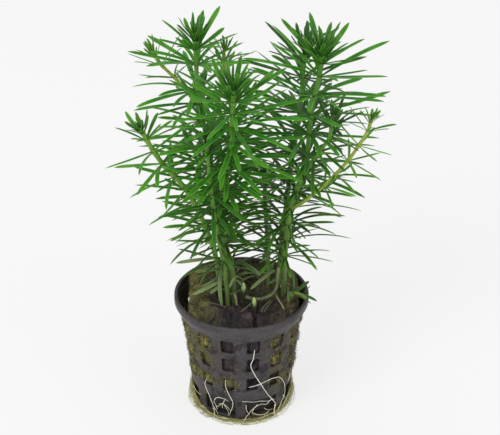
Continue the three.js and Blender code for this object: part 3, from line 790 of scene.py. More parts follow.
def leaf_lines(name, rings, leaves):
    """The midribs of a shoot: of its solid leaves, of another beside many, and of the crown."""
    draw = random.Random(name)
    lines = []
    crown = rings[-1][0]
    longest = max((leaf["tip"] - leaf["foot"]).length for leaf in leaves)
    habit = HABITS.get(name, FULL_HABIT)
    for leaf in leaves:
        leaf["half"] *= habit["wide"]
        nearest = min(range(len(rings)), key=lambda i: (rings[i][0] - leaf["foot"]).length)
        age = max(habit.get("age", 0), min(1.0, (crown - rings[nearest][0]).length / OLD_AT))
        leaf["half"] *= 1 - OLD_NARROW * max(0, 2 * age - 1)
        shade_share = habit.get("shade_share", 0)
        lines.append(midrib(leaf, age, draw, shade_share))
        if draw.random() > habit["beside"]:
            continue
        low = rings[max(0, nearest - 1)][0]
        high = rings[min(len(rings) - 1, nearest + 1)][0]
        turn = SIBLING_TURN + draw.uniform(-SIBLING_LOOSE, SIBLING_LOOSE)
        share = draw.uniform(*SIBLING_SHARE)
        sibling = turned_leaf(leaf, rings[nearest][0], (high - low).normalized(), turn, share)
        lines.append(midrib(sibling, age, draw, shade_share))
    for leaf in crown_leaves(rings, longest, habit["crown"], draw):
        line = midrib(leaf, 0.0, draw)
        for point in line:
            point["tone"] *= CROWN_SHADE
        lines.append(line)
    return lines


for name, (rings, leaves) in shoots.items():
    lines = line_mesh(name, leaf_lines(name, rings, leaves))
    skin = LEAF_LOOKS[slots[name]]
    dress(grow(name + "_leaves", lines, blade_tree, **blade(skin)), slots[name], name)

# %% [markdown]
# ## Net pot
#
# The pot repeats itself seven times round its axis. Its profile is read from the solid's corners.
# The script makes one seventh: an outer and an inner sheet, the jambs of the windows, the rim and
# the floor. A tree sets seven copies round the axis and joins their seams. Then the edges are
# rounded, because no moulded part has sharp ones.

# %% Profile of the pot
HEIGHT, OUTSIDE, INSIDE = range(3)  # what each level of the profile holds


def around(angle, radius, z):
    """A point at an angle from the front towards +X."""
    return Vector((radius * math.sin(angle), -radius * math.cos(angle), z))


def pot_profile():
    """Each level of the pot's wall: its height, outside radius and inside radius."""
    form = merged_form("net_pot")
    levels = {}
    for corner in form.verts:
        radius = math.hypot(corner.co.x, corner.co.y)
        if radius > 1 * MM:
            levels.setdefault(round(corner.co.z / MM, 2), []).append(radius)
    form.free()
    return [(z * MM, max(radii), min(radii)) for z, radii in sorted(levels.items())]


profile = pot_profile()


def pot_radius(height, side=OUTSIDE, unit=1.0):
    """The radius of the wall's outside or inside at a height, both in the unit."""
    heights = [level[HEIGHT] / unit for level in profile]
    return np.interp(height, heights, [level[side] / unit for level in profile])


print("pot levels, mm:", [[round(c / MM, 1) for c in level] for level in profile])

# %% One seventh of the pot
POT_PARTS = 7
PART_COLUMNS = 16
PART_ANGLE = math.tau / POT_PARTS
PART_START = math.radians(-1.357)  # from the front towards +X, in the middle of a closed bar
FOOT_ROW = (1, 2)  # levels of the profile between which the windows lie
WINDOW_ROWS = ((3, 4), (5, 6), (7, 8))
FOOT_COLUMNS = range(2, 14)
WINDOW_COLUMNS = (*range(2, 6), *range(10, 14))
WALL_STEP = 1.6 * MM
FLOOR_RINGS = (1.0, 0.7, 0.4)


def finer_profile(profile):
    """The profile with levels in between, each with the place in the profile that it stands for."""
    lines = []
    for i, (low, high) in enumerate(zip(profile, profile[1:])):
        count = max(1, round((high[0] - low[0]) / WALL_STEP))
        for k in range(count):
            lines.append((*[a + (b - a) * k / count for a, b in zip(low, high)], i + k / count))
    return [*lines, (*profile[-1], len(profile) - 1)]


def pot_part(profile):
    """One seventh of the pot: its two sheets, the jambs of its windows, its rim and its floor."""
    form = bmesh.new()
    lines = finer_profile(profile)
    angles = [PART_START + PART_ANGLE * k / PART_COLUMNS for k in range(PART_COLUMNS + 1)]
    outer = [[form.verts.new(around(a, out, z)) for a in angles] for z, out, _, _ in lines]
    inner = [[form.verts.new(around(a, bore, z)) for a in angles] for z, _, bore, _ in lines]
    floor_line = next(j for j, line in enumerate(lines) if line[3] == 1)

    def is_open(k, j):
        place = lines[j][3]
        if any(low <= place < high for low, high in WINDOW_ROWS):
            return k in WINDOW_COLUMNS
        return FOOT_ROW[0] <= place < FOOT_ROW[1] and k in FOOT_COLUMNS

    for j in range(len(lines) - 1):
        for k in range(PART_COLUMNS):
            out = [outer[j][k], outer[j][k + 1], outer[j + 1][k + 1], outer[j + 1][k]]
            bore = [inner[j][k], inner[j][k + 1], inner[j + 1][k + 1], inner[j + 1][k]]
            if not is_open(k, j):
                form.faces.new(out)
                if j >= floor_line:
                    form.faces.new(bore)
                continue
            for side, (dk, dj) in enumerate(((0, -1), (1, 0), (0, 1), (-1, 0))):
                if not is_open(k + dk, j + dj):
                    a, b = side, (side + 1) % 4
                    form.faces.new((out[a], out[b], bore[b], bore[a]))
    for k in range(PART_COLUMNS):
        form.faces.new((outer[-1][k], outer[-1][k + 1], inner[-1][k + 1], inner[-1][k]))
    for rim in (outer[0], inner[floor_line]):
        rings = [rim]
        for share in FLOOR_RINGS[1:]:
            rings.append([form.verts.new((v.co.x * share, v.co.y * share, v.co.z)) for v in rim])
        for wide, narrow in zip(rings, rings[1:]):
            for k in range(PART_COLUMNS):
                form.faces.new((wide[k], wide[k + 1], narrow[k + 1], narrow[k]))
        centre = form.verts.new((0, 0, rim[0].co.z))
        for k in range(PART_COLUMNS):
            form.faces.new((rings[-1][k], rings[-1][k + 1], centre))
    bmesh.ops.delete(form, geom=[v for v in form.verts if not v.link_faces], context="VERTS")
    mesh = bpy.data.meshes.new("one seventh of the pot")
    form.to_mesh(mesh)
    form.free()
    return mesh


# %% Tree: copies round the axis
def build_round_tree():
    """Copies of a part set round the Z axis, with their seams joined."""
    sizes = {"count": "Int", "seam": "Float", "material": "Material"}
    tree, given, out = new_tree("copies round the axis", **sizes)
    count = given["count"]
    marks = add(tree, "GeometryNodePoints", {"Count": count}).outputs[0]
    share = math_node(tree, "DIVIDE", math.tau, count)
    index = add(tree, "GeometryNodeInputIndex").outputs[0]
    turn = vector(tree, Z=times(tree, index, share))
    inputs = {"Points": marks, "Instance": given["Mesh"], "Rotation": turn}
    copies = add(tree, "GeometryNodeInstanceOnPoints", inputs).outputs[0]
    real = add(tree, "GeometryNodeRealizeInstances", {"Geometry": copies}).outputs[0]
    inputs = {"Geometry": real, "Distance": given["seam"]}
    joined = add(tree, "GeometryNodeMergeByDistance", inputs).outputs[0]
    finish_tree(tree, joined, given["material"], out)
    return tree


round_tree = build_round_tree()


# %% Pot material
def pot_material():
    """Moulded polypropylene, nearly black and warm, under a thin film of algae at the sides."""
    material, tree, shader = new_material("moulded polypropylene")
    axes = coordinates(tree)
    colour = ramp(tree, speckle(tree, 6.0, detail=5.0), [(0.35, "#322d2e"), (0.65, "#494344")])
    grain = between(tree, speckle(tree, 0.8, detail=4.0), 0.4, 0.7)
    colour = tinted(tree, colour, "#595153", grain, 0.4)
    sideways = between(tree, math_node(tree, "ABSOLUTE", axes["X"]), 6 * MM, 18 * MM)
    below_rim = below(tree, axes["Z"], 40 * MM, 46 * MM)
    spots = between(tree, speckle(tree, 3.2, detail=6.0), 0.44, 0.58)
    film = times(tree, sideways, spots, below_rim)
    colour = tinted(tree, colour, "#66643a", film, 0.6)
    spots = between(tree, speckle(tree, 2.4, detail=5.0), 0.5, 0.6)
    stains = times(tree, spots, below_rim, 0.6)
    colour = blend_colours(tree, stains, colour, "#211b1e")
    colour = tinted(tree, colour, "#221d20", below(tree, axes["Z"], 2 * MM, 22 * MM), 0.45)
    tree.links.new(colour, shader.inputs["Base Color"])
    tree.links.new(math_node(tree, "MULTIPLY_ADD", film, 0.25, 0.48), shader.inputs["Roughness"])
    shine = math_node(tree, "MULTIPLY_ADD", math_node(tree, "MAXIMUM", stains, film), -0.25, 0.3)
    tree.links.new(shine, shader.inputs["Specular IOR Level"])
    shader.inputs["IOR"].default_value = 1.49
    bump(tree, shader, speckle(tree, 0.7, detail=3.0), 0.06)
    return material


# %% Build the pot
WINDOW_CORNER = 0.7 * MM
EDGE_ROUND = 0.22 * MM
RIM_ROUND = 0.5 * MM
SHARP = 0.8  # edges are rounded where their faces turn by more than this, in radians
SQUARE = 1.0  # the same for the rim and the windows' corners


def face_turn(edge):
    return edge.calc_face_angle(0.0)


def runs_outwards(edge):
    """Whether an edge points away from the axis, like the corners of the windows."""
    centre = (edge.verts[0].co + edge.verts[1].co) / 2
    along = (edge.verts[0].co - edge.verts[1].co).normalized()
    return abs(along.dot(Vector((centre.x, centre.y, 0)).normalized())) > 0.9


def from_lowest(face):
    """The numbers of a face's corners, from the lowest one on."""
    numbers = [corner.index for corner in face.verts]
    start = numbers.index(min(numbers))
    return numbers[start:] + numbers[:start]


def soften(form, edges, radius, steps):
    """Rounds these edges."""
    bmesh.ops.bevel(
        form,
        geom=edges,
        offset=radius,
        segments=steps,
        profile=0.5,
        affect="EDGES",
        clamp_overlap=True,
        material=-1,
    )


pot_skin = pot_material()
sizes = {"count": POT_PARTS, "seam": 0.01 * MM, "material": pot_skin}
net_pot = grow("net_pot_form", pot_part(profile), round_tree, **sizes)
form = bmesh.new()
form.from_mesh(net_pot.data)
bmesh.ops.recalc_face_normals(form, faces=form.faces)
corners = [e for e in form.edges if face_turn(e) > SQUARE and runs_outwards(e)]
soften(form, corners, WINDOW_CORNER, 3)
top_edges = [e for e in form.edges if min(v.co.z for v in e.verts) > pot_high.z - 0.01 * MM]
soften(form, [e for e in top_edges if face_turn(e) > SQUARE], RIM_ROUND, 4)
soften(form, [e for e in form.edges if face_turn(e) > SHARP], EDGE_ROUND, 2)
print("window corners:", len(corners), "open edges:", sum(e.is_boundary for e in form.edges))
# The bevels leave the faces in an order that differs from run to run, so they are sorted
form.verts.index_update()
places = [corner.co[:] for corner in form.verts]
net_pot.data.clear_geometry()
net_pot.data.materials.clear()
net_pot.data.materials.append(pot_skin)
net_pot.data.from_pydata(places, [], sorted(from_lowest(face) for face in form.faces))
net_pot.data.shade_smooth()
form.free()
dress(net_pot, "pot_plastic", "net_pot")

# %% [markdown]
# ## Mineral wool and the root mat
#
# The plug is a block of spun fibres, stained by water and algae. Its solid gets a fine even skin,
# which is pushed into lumps, and out of the windows where the wool swells. Short fibres then stand
# on it, more of them where it is open to the light. The mat of fine roots round the pot's foot is
# made the same way, with long fibres that run round it.

# %% A fine skin over a solid
def remeshed(node_name, voxel):
    """A mesh with an even skin over a node's form."""
    form = merged_form(node_name)
    mesh = bpy.data.meshes.new(node_name + " skin")
    form.to_mesh(mesh)
    form.free()
    carrier = bpy.data.objects.new(node_name + " skin", mesh)
    bpy.context.scene.collection.objects.link(carrier)
    modifier = carrier.modifiers.new("even skin", "REMESH")
    modifier.mode = "VOXEL"
    modifier.voxel_size = voxel
    graph = bpy.context.evaluated_depsgraph_get()
    skin = bpy.data.meshes.new_from_object(carrier.evaluated_get(graph))
    bpy.data.objects.remove(carrier)
    return skin


def skin_piece(name, mesh, material):
    """A smooth-shaded object of a shaped skin."""
    mesh.shade_smooth()
    mesh.materials.append(material)
    piece = bpy.data.objects.new(name, mesh)
    bpy.context.scene.collection.objects.link(piece)
    return piece


def points_of(mesh):
    """A mesh's points in mm, as rows."""
    flat = np.empty(len(mesh.vertices) * 3, np.float32)
    mesh.vertices.foreach_get("co", flat)
    return flat.reshape(-1, 3) / MM


def normals_of(mesh):
    flat = np.empty(len(mesh.vertices) * 3, np.float32)
    mesh.vertex_normals.foreach_get("vector", flat)
    return flat.reshape(-1, 3)


def set_points(mesh, points):
    mesh.vertices.foreach_set("co", (points * MM).astype(np.float32).ravel())
    mesh.update()


def set_value(mesh, name, values):
    mesh.attributes.new(name, "FLOAT", "POINT").data.foreach_set("value", values.astype(np.float32))


def cloud(points, size, seed=0.0, depth=3):
    """Noise from about -1 to 1 at each point, with blobs about size mm across."""
    places = [Vector(point) / size + Vector((seed, 0, 0)) for point in points]
    return np.array([noise.fractal(place, 1.0, 2.0, depth) for place in places])


def polar(points):
    """Each point's angle from the front towards +X, in degrees, and its distance from the axis."""
    angle = np.degrees(np.arctan2(points[:, 0], -points[:, 1]))
    return angle, np.hypot(points[:, 0], points[:, 1])


def step_up(values, low, high):
    """0 below low, 1 above high, smooth between them."""
    share = np.clip((values - low) / (high - low), 0, 1)
    return share * share * (3 - 2 * share)


# %% Shape of the wool
WINDOW_COUNT = 14
FIRST_WINDOW = 11.5  # degrees from the front to the middle of a window
WINDOW_STEP = 360 / WINDOW_COUNT
WINDOW_HALF = (5.6, 2.75)  # half of a window's width in degrees and of its height in mm
# How far the wool swells out of a window, in mm beyond the inner wall, and how yellow it is there,
# by the window's column from the front towards +X, and its row from the top
SWELLS = {
    (0, 0): (-0.6, 0.0), (0, 1): (-2.2, 0.0), (0, 2): (-2.5, 0.0),
    (-1, 0): (-0.6, 0.0), (-1, 1): (0.1, 0.1), (-1, 2): (1.1, 0.6),
    (1, 0): (0.9, 0.8), (1, 1): (1.3, 1.0), (1, 2): (-1.6, 0.2),
    (-2, 0): (1.2, 0.9), (-2, 1): (-0.2, 0.5), (-2, 2): (0.8, 0.7),
}
OTHER_SWELL = (1.4, 0.9)
FREE_COLUMNS = (-4, -5)  # the wool's flat left side stands clear of these windows
HEAPS = 1.9  # mm that the top of the wool rises and sinks in front


def window_places():
    """Each upper window's column, row, and middle: its angle in degrees and height in mm."""
    for column in range(-WINDOW_COUNT // 2, WINDOW_COUNT // 2):
        for row, (low, high) in enumerate(reversed(WINDOW_ROWS)):
            height = (profile[low][HEIGHT] + profile[high][HEIGHT]) / 2 / MM
            yield column, row, FIRST_WINDOW + column * WINDOW_STEP, height


def shape_wool(mesh):
    """Lumps on the wool's skin, and its swells in the windows. Stores how yellow it is and its
    painted shade.
    """
    points = points_of(mesh)
    normals = normals_of(mesh)
    lumps = 0.5 * cloud(points, 7.0) + 0.35 * cloud(points * (1, 1, 0.6), 2.4, seed=9)
    lumps += 0.25 * cloud(points, 1.4, seed=14)
    top = step_up(normals[:, 2], 0.2, 0.8)
    heaps = HEAPS * cloud(points * (1, 1, 0), 5.5, seed=21, depth=2) * step_up(-points[:, 1], -4, 6)
    heaps = np.minimum(0.5, heaps - 0.3) * step_up(points[:, 2], 40, 46)
    points += normals * (lumps * (0.6 + top) - 0.15)[:, None]
    near_front = step_up(-points[:, 1], 12, 22) * step_up(points[:, 2], 40, 46)
    sunk = near_front * (2.2 + 1.2 * cloud(points, 4.0, seed=2)) - heaps
    points[:, 2] -= sunk
    angle, radius = polar(points)
    bore = pot_radius(points[:, 2], INSIDE, MM)
    yellow = 0.25 * step_up(np.abs(points[:, 0] + 1), 8, 20)
    limit = bore - 0.15
    window_shade = np.zeros(len(points))
    for column, row, middle_angle, height in window_places():
        if column in FREE_COLUMNS:
            continue
        swell, tint = SWELLS.get((column, row), OTHER_SWELL)
        turn = np.abs((angle - middle_angle + 180) % 360 - 180)
        inside = step_up(WINDOW_HALF[0] - turn, 0, 2.4)
        inside *= step_up(WINDOW_HALF[1] - np.abs(points[:, 2] - height), 0, 1.3)
        inside *= step_up(radius, 17, 20)
        target = bore + swell + 0.5 * lumps
        radius = np.where(inside > 0, radius + inside * (target - radius), radius)
        limit = np.where(inside > 0, limit + inside * 4, limit)
        yellow = np.maximum(yellow, tint * inside)
        # Painted shade in the windows where the wool lies deep and is not yellow.
        window_shade = np.maximum(window_shade, inside * max(0.0, 0.5 - swell / 3 - tint))
    radius = np.minimum(radius, limit)
    old = np.hypot(points[:, 0], points[:, 1])
    points[:, :2] *= (radius / np.maximum(old, 0.01))[:, None]
    set_points(mesh, points)
    set_value(mesh, "yellow", yellow)
    foot = 1 - step_up(points[:, 2], 8, 14)
    # Painted shade: darker in the deep windows, low in the pot, between the lumps and where the
    # front sinks under the rim.
    dark = np.maximum.reduce([window_shade, foot, step_up(-lumps, 0.0, 0.45), step_up(sunk, 0.6, 2.6)])
    set_value(mesh, "painted_shade", dark)
    clumps = step_up(cloud(points, 3.0, seed=6), -0.1, 0.4)
    open_side = step_up(-points[:, 0] + 0.5 * points[:, 1], 2, 12)
    on_top = top * (0.06 + 0.6 * clumps * (0.2 + 0.8 * open_side))
    set_value(mesh, "fuzz", np.maximum(yellow, on_top))


# %% Wool material
def algae_side(tree):
    """1 at the plug's left and back, olive with algae, and 0 in front, where it is brown."""
    axes = coordinates(tree)
    uneven = math_node(tree, "MULTIPLY_ADD", speckle(tree, 4.0), 12 * MM, -6 * MM)
    across = math_node(tree, "ADD", axes["X"], uneven)
    left = below(tree, across, -15 * MM, -8 * MM)
    back = between(tree, math_node(tree, "ADD", axes["Y"], uneven), -2 * MM, 9 * MM)
    return math_node(tree, "MAXIMUM", left, times(tree, back, 0.7))


def wool_material():
    """Wet mineral wool: dark brown in front, olive at the sides, yellow where algae grow, with
    painted shade.
    """
    material, tree, shader = new_material("stained mineral wool")
    patches = speckle(tree, 3.5, detail=6.0)
    brown = ramp(tree, patches, [(0.4, "#1a1417"), (0.7, "#54434a"), (0.55, "#32272c")])
    olive = ramp(tree, patches, [(0.35, "#3a3924"), (0.7, "#807a4c"), (0.5, "#5c5936")])
    colour = blend_colours(tree, algae_side(tree), brown, olive)
    blotches = between(tree, speckle(tree, 2.0, detail=3.0), 0.3, 0.55)
    film = times(tree, attribute(tree, "yellow"), blotches)
    colour = blend_colours(tree, film, colour, "#97903f")
    streaks = between(tree, speckle(tree, 0.7, detail=3.0, stretch=(1, 0.25, 0.25)), 0.45, 0.7)
    colour = tinted(tree, colour, "#80706a", streaks, 0.25)
    # Painted shade: near black in the deep windows, between the lumps, low in the pot and under the
    # front rim.
    paint(shader, tinted(tree, colour, "#161113", attribute(tree, "painted_shade"), 0.8), 0.85)
    bump(tree, shader, speckle(tree, 0.5, detail=4.0), 0.3)
    return material


# %% Build the wool
WOOL_VOXEL = 0.55 * MM
wool_skin = remeshed("stone_wool", WOOL_VOXEL)
shape_wool(wool_skin)
stone_wool = skin_piece("stone_wool_form", wool_skin, wool_material())
dress(stone_wool, "mineral_wool", "stone_wool")


# %% Tree: fibres strewn over a skin
def build_fuzz_tree():
    """Short bent fibres that lie almost flat on a skin, as dense as its value "fuzz" says."""
    sizes = {"density": "Float", "length": "Float", "radius": "Float", "lift": "Float"}
    tree, given, out = new_tree("fibres over a skin", **sizes, seed="Int", material="Material")
    dense = times(tree, given["density"], named(tree, "fuzz"))
    inputs = {"Mesh": given["Mesh"], "Density": dense, "Seed": given["seed"]}
    strewn = add(tree, "GeometryNodeDistributePointsOnFaces", inputs)

    def on_fibre(x, z):
        along = times(tree, given["length"], x)
        return vector(tree, X=along, Z=times(tree, along, z))

    ends = {"Start": on_fibre(-0.5, 0), "Middle": on_fibre(0.1, 1.5), "End": on_fibre(0.5, 0.3)}
    fibre = add(tree, "GeometryNodeCurveQuadraticBezier", {"Resolution": 5, **ends}).outputs[0]
    body = sweep(tree, fibre, circle(tree, 3, given["radius"]))

    def chance(least, most, kind="FLOAT", **seed):
        inputs = {"Min": least, "Max": most} if kind == "FLOAT_VECTOR" else {2: least, 3: most}
        node = add(tree, "FunctionNodeRandomValue", {**inputs, **seed}, data_type=kind)
        return node.outputs[0 if kind == "FLOAT_VECTOR" else 1]

    tilt = times(tree, given["lift"], -1.0)
    low = vector(tree, X=tilt, Y=tilt, Z=0.0)
    high = vector(tree, X=given["lift"], Y=0.0, Z=math.tau)
    angles = chance(low, high, "FLOAT_VECTOR")
    turn = add(tree, "FunctionNodeEulerToRotation", {0: angles}).outputs[0]
    inputs = {"Rotation": strewn.outputs["Rotation"], "Rotate By": turn}
    turned = add(tree, "FunctionNodeRotateRotation", inputs, rotation_space="LOCAL").outputs[0]
    long = chance(0.4, 1.5, Seed=given["seed"])
    size = vector(tree, X=long, Y=1.0, Z=1.0)
    inputs = {"Points": strewn.outputs["Points"], "Instance": body, "Rotation": turned}
    placed = add(tree, "GeometryNodeInstanceOnPoints", {**inputs, "Scale": size}).outputs[0]
    marked = store(tree, placed, "tone", chance(0.0, 1.0, Seed=7), domain="INSTANCE")
    finish_tree(tree, marked, given["material"], out)
    return tree


fuzz_tree = build_fuzz_tree()
print("tree:", fuzz_tree.name)


# %% Fibres of the wool
def fibre_material(name, stops, roughness=0.6):
    """Thin fibres in a range of colours, by each fibre's own tone."""
    material, tree, shader = new_material(name)
    paint(shader, ramp(tree, attribute(tree, "tone"), stops), roughness)
    return material


def strand_material():
    """Spun mineral fibres, stained like the wool that they stand on."""
    material, tree, shader = new_material("mineral wool strands")
    tone = attribute(tree, "tone")
    brown = ramp(tree, tone, [(0.0, "#2a2123"), (1.0, "#6c5e59"), (0.6, "#483a39")])
    olive = ramp(tree, tone, [(0.0, "#45422a"), (1.0, "#aaa268"), (0.6, "#6f6a40")])
    paint(shader, blend_colours(tree, algae_side(tree), brown, olive), 0.6)
    return material


wool_strands = strand_material()
sizes = {"density": 2.6 / MM**2, "length": 2.6 * MM, "radius": 0.055 * MM, "lift": 0.35}
wool_fibres = grow("wool_fibres", wool_skin, fuzz_tree, **sizes, seed=3, material=wool_strands)
dress(wool_fibres, "mineral_wool", "stone_wool")


# %% Combed strands on the wool
STRANDS = 520
STRAND_STEP = 0.9 * MM
STRAND_POINTS = (4, 11)
STRAND_RADIUS = (0.05, 0.12)
STRAND_LIFT = (0.02, 0.3)  # mm over the skin
STRAND_SWIRL = 14 * MM  # size of the swirls that the strands follow
LEFT_FACE = -14 * MM
LEFT_PULL = Vector((-0.7, -0.5, -1))  # where the strands run at the left, and elsewhere
OTHER_PULL = Vector((0.2, -0.5, -0.2))


def combed_strands(mesh, count, draw):
    """Strands that lie on the top and the left side of a skin, hang down it, and swirl a little."""
    skin = kdtree.KDTree(len(mesh.vertices))
    for vertex in mesh.vertices:
        skin.insert(vertex.co, vertex.index)
    skin.balance()
    starts = [v for v in mesh.vertices if v.normal.z > 0.3 and v.co.z > 38 * MM]
    starts += [v for v in mesh.vertices if v.co.x < LEFT_FACE and v.co.z > 30 * MM] * 2
    lines = []
    for _ in range(count):
        at = draw.choice(starts).co.copy()
        radius = draw.uniform(*STRAND_RADIUS) * MM
        tone = draw.random()
        lift = draw.uniform(*STRAND_LIFT) * MM
        line = []
        for _ in range(draw.randint(*STRAND_POINTS)):
            place, index, _ = skin.find(at)
            normal = mesh.vertices[index].normal
            pull = LEFT_PULL if place.x < -8 * MM else OTHER_PULL
            along = pull + noise.noise_vector(place / STRAND_SWIRL)
            along = (along - normal * along.dot(normal)).normalized()
            line.append({"at": place + normal * lift, "radius": radius, "tone": tone})
            at = place + along * STRAND_STEP
        lines.append(line)
    return lines


lines = line_mesh("combed strands", combed_strands(wool_skin, STRANDS, random.Random("strands")))
strands = grow("wool_strands", lines, tube_tree, **tube(4, 0.0, 1.0, wool_strands))
dress(strands, "mineral_wool", "stone_wool")

# %% Straws on the wool
STRAWS = [  # ends in mm, radius in mm, and how pale the straw is
    ((-0.2, -13.8, 50.2), (5, -7.6, 51), 0.42, 0.3),
    ((7.7, -13.8, 50.2), (11.5, -7, 51), 0.38, 0.45),
    ((8.9, -13.8, 50.2), (12.2, -7.6, 51), 0.3, 0.35),
    ((13.6, -2.6, 51.2), (16.9, -12, 50.3), 0.3, 1.0),
    ((-2.9, -6.7, 54), (-1.9, -9.2, 50.2), 0.55, 0.6),
    ((-0.2, 12.1, 54.2), (6.1, 11.4, 54), 0.4, 0.4),
    ((-12.6, -8.4, 51), (-6, -11.6, 50.6), 0.2, 0.4),
]


def straw_lines(draw):
    """Thin dead stems that lie on the wool, each bent a little."""
    lines = []
    for start, end, radius, pale in STRAWS:
        start, end = Vector(start) * MM, Vector(end) * MM
        bend = (start + end) / 2 + Vector((draw.uniform(-0.5, 0.5), 0, draw.uniform(0, 0.6))) * MM
        line = []
        for at, _ in smooth_line([start, bend, end], STRAND_STEP):
            line.append({"at": at, "radius": radius * MM * draw.uniform(0.85, 1.1), "tone": pale})
        lines.append(line)
    return lines


straw_tones = [(0.0, "#403c30"), (1.0, "#a09a74"), (0.5, "#5f604a")]
straw_skin = fibre_material("dead stem skin", straw_tones)
lines = line_mesh("straws", straw_lines(random.Random("straws")))
dress(grow("straws", lines, tube_tree, **tube(6, 0.15, 0.8, straw_skin)), "bare_stem")

# %% Algae tufts round the windows
TUFT_FULL = 2.4  # mm from the middle of a window up to which the tufts stand thick
TUFT_REACH = 4.6


def mark_tufts(mesh):
    """Stores on the pot how thick the tufts stand: round the windows where the wool is yellow."""
    points = points_of(mesh)
    angle, radius = polar(points)
    tufts = np.zeros(len(points))
    for column, row, middle_angle, height in window_places():
        _, tint = SWELLS.get((column, row), OTHER_SWELL)
        turn = (angle - middle_angle + 180) % 360 - 180
        away = np.hypot(np.radians(turn) * radius, points[:, 2] - height)
        tufts = np.maximum(tufts, tint * (1 - step_up(away, TUFT_FULL, TUFT_REACH)))
    patchy = step_up(cloud(points, 2.4, seed=31), -0.25, 0.3)
    outside = radius > pot_radius(points[:, 2], OUTSIDE, MM) - 0.3
    set_value(mesh, "fuzz", tufts * patchy * outside)


mark_tufts(net_pot.data)
algae = fibre_material("algae tufts", [(0.0, "#484828"), (1.0, "#a09a56"), (0.5, "#706d3e")])
sizes = {"density": 11.0 / MM**2, "length": 1.7 * MM, "radius": 0.07 * MM, "lift": 0.5}
tufts = grow("algae_tufts", net_pot.data, fuzz_tree, **sizes, seed=5, material=algae)
dress(tufts, "mat_fibre")

# %% Shape of the root mat
MAT_RAGGED = 0.9  # mm that the mat's edge is eaten away, at most twice this
MAT_WEDGE = 0.75  # how much thinner the mat is at its edge than at the pot's foot
MAT_LOW_FRONT = 0.45  # how much lower it is in front
MAT_TRIM = 0.5  # mm that the felt stays inside the solid, where the loose fibres stand
MAT_THINNEST = 0.05  # mm


def mat_edge():
    """Each corner of the mat's outside: its angle from the front, radius and height."""
    form = merged_form("root_mat")
    corners = []
    for corner in form.verts:
        x, y, z = corner.co
        if math.hypot(x, y) > profile[0][OUTSIDE]:
            corners.append((math.atan2(x, -y) % math.tau, math.hypot(x, y), z))
    form.free()
    return corners


mat_corners = mat_edge()


def edge_at(angle):
    """The mat's outer radius and top at an angle, from the solid's corners nearest to it."""
    turn = angle % math.tau
    close = [c for c in mat_corners if abs((c[0] - turn + math.pi) % math.tau - math.pi) < 0.14]
    return max(c[1] for c in close), max(c[2] for c in close)


def front_drop(angle):
    """How much lower the mat is at an angle from the front."""
    return MAT_LOW_FRONT * step_up(np.cos(angle), 0.2, 0.8)


def shape_mat(mesh):
    """Lumps and a ragged edge on the mat's skin, thinner towards the edge and lower in front."""
    points = points_of(mesh)
    normals = normals_of(mesh)
    lumps = 0.3 * cloud(points, 2.6, seed=4) + 0.15 * cloud(points, 0.9, seed=5)
    radius = np.hypot(points[:, 0], points[:, 1])
    outer = step_up(radius, 20.0, 20.8) * step_up(points[:, 2], 0.1, 0.8)
    points += normals * (outer * (lumps - 0.35))[:, None]
    ragged = step_up(points[:, 2], 2.0, 6.0) * (1 + cloud(points, 2.0, seed=8))
    points[:, 2] -= outer * ragged * MAT_RAGGED
    angles = np.arctan2(points[:, 0], -points[:, 1])
    tops = np.array([edge_at(angle)[1] for angle in angles]) / MM
    wall = pot_radius(points[:, 2], OUTSIDE, MM)
    out = np.hypot(points[:, 0], points[:, 1]) - wall
    narrowing = 1 - MAT_WEDGE * np.clip(points[:, 2] / tops, 0, 1)
    thinned = MAT_THINNEST + np.maximum(0, out - MAT_TRIM) * narrowing
    beside = step_up(out, 0, 0.3)
    points[:, :2] *= (1 + beside * (thinned - out) / np.maximum(out + wall, 1))[:, None]
    points[:, 2] *= 1 - beside * front_drop(angles)
    set_points(mesh, points)
    set_value(mesh, "fuzz", outer)


# %% Build the root mat
MAT_VOXEL = 0.45 * MM


def mat_material():
    """A felt of fine roots and algae: yellow-green, thin enough to let light through."""
    material, tree, shader = new_material("felt of fine roots")
    felt = [(0.3, "#464426"), (0.7, "#a29e62"), (0.5, "#747142")]
    paint(shader, ramp(tree, speckle(tree, 1.6, detail=6.0), felt), 0.7)
    soak(shader, 0.3, 1.2, (1.0, 1.0, 0.5))
    bump(tree, shader, speckle(tree, 0.4, detail=4.0), 0.3)
    return material


mat_skin = remeshed("root_mat", MAT_VOXEL)
shape_mat(mat_skin)
dress(skin_piece("root_mat_form", mat_skin, mat_material()), "mat_fibre", "root_mat")


# %% Fibres of the mat
MAT_FIBRES = 620
FIBRE_STEP = 1.2 * MM
FIBRE_ARC = (0.08, 0.4)  # how far a fibre runs round the pot, in radians
FIBRE_OUT = (-0.3, 0.55)  # mm from the outside of the mat
FIBRE_RADIUS = (0.04, 0.09)
WAVE_HIGH = (0.1, 0.5)
WAVE_RATE = (6, 24)
LOWEST_FIBRE = 0.15 * MM
OVER_EDGE = 0.4 * MM  # how far a fibre may stand over the mat's edge


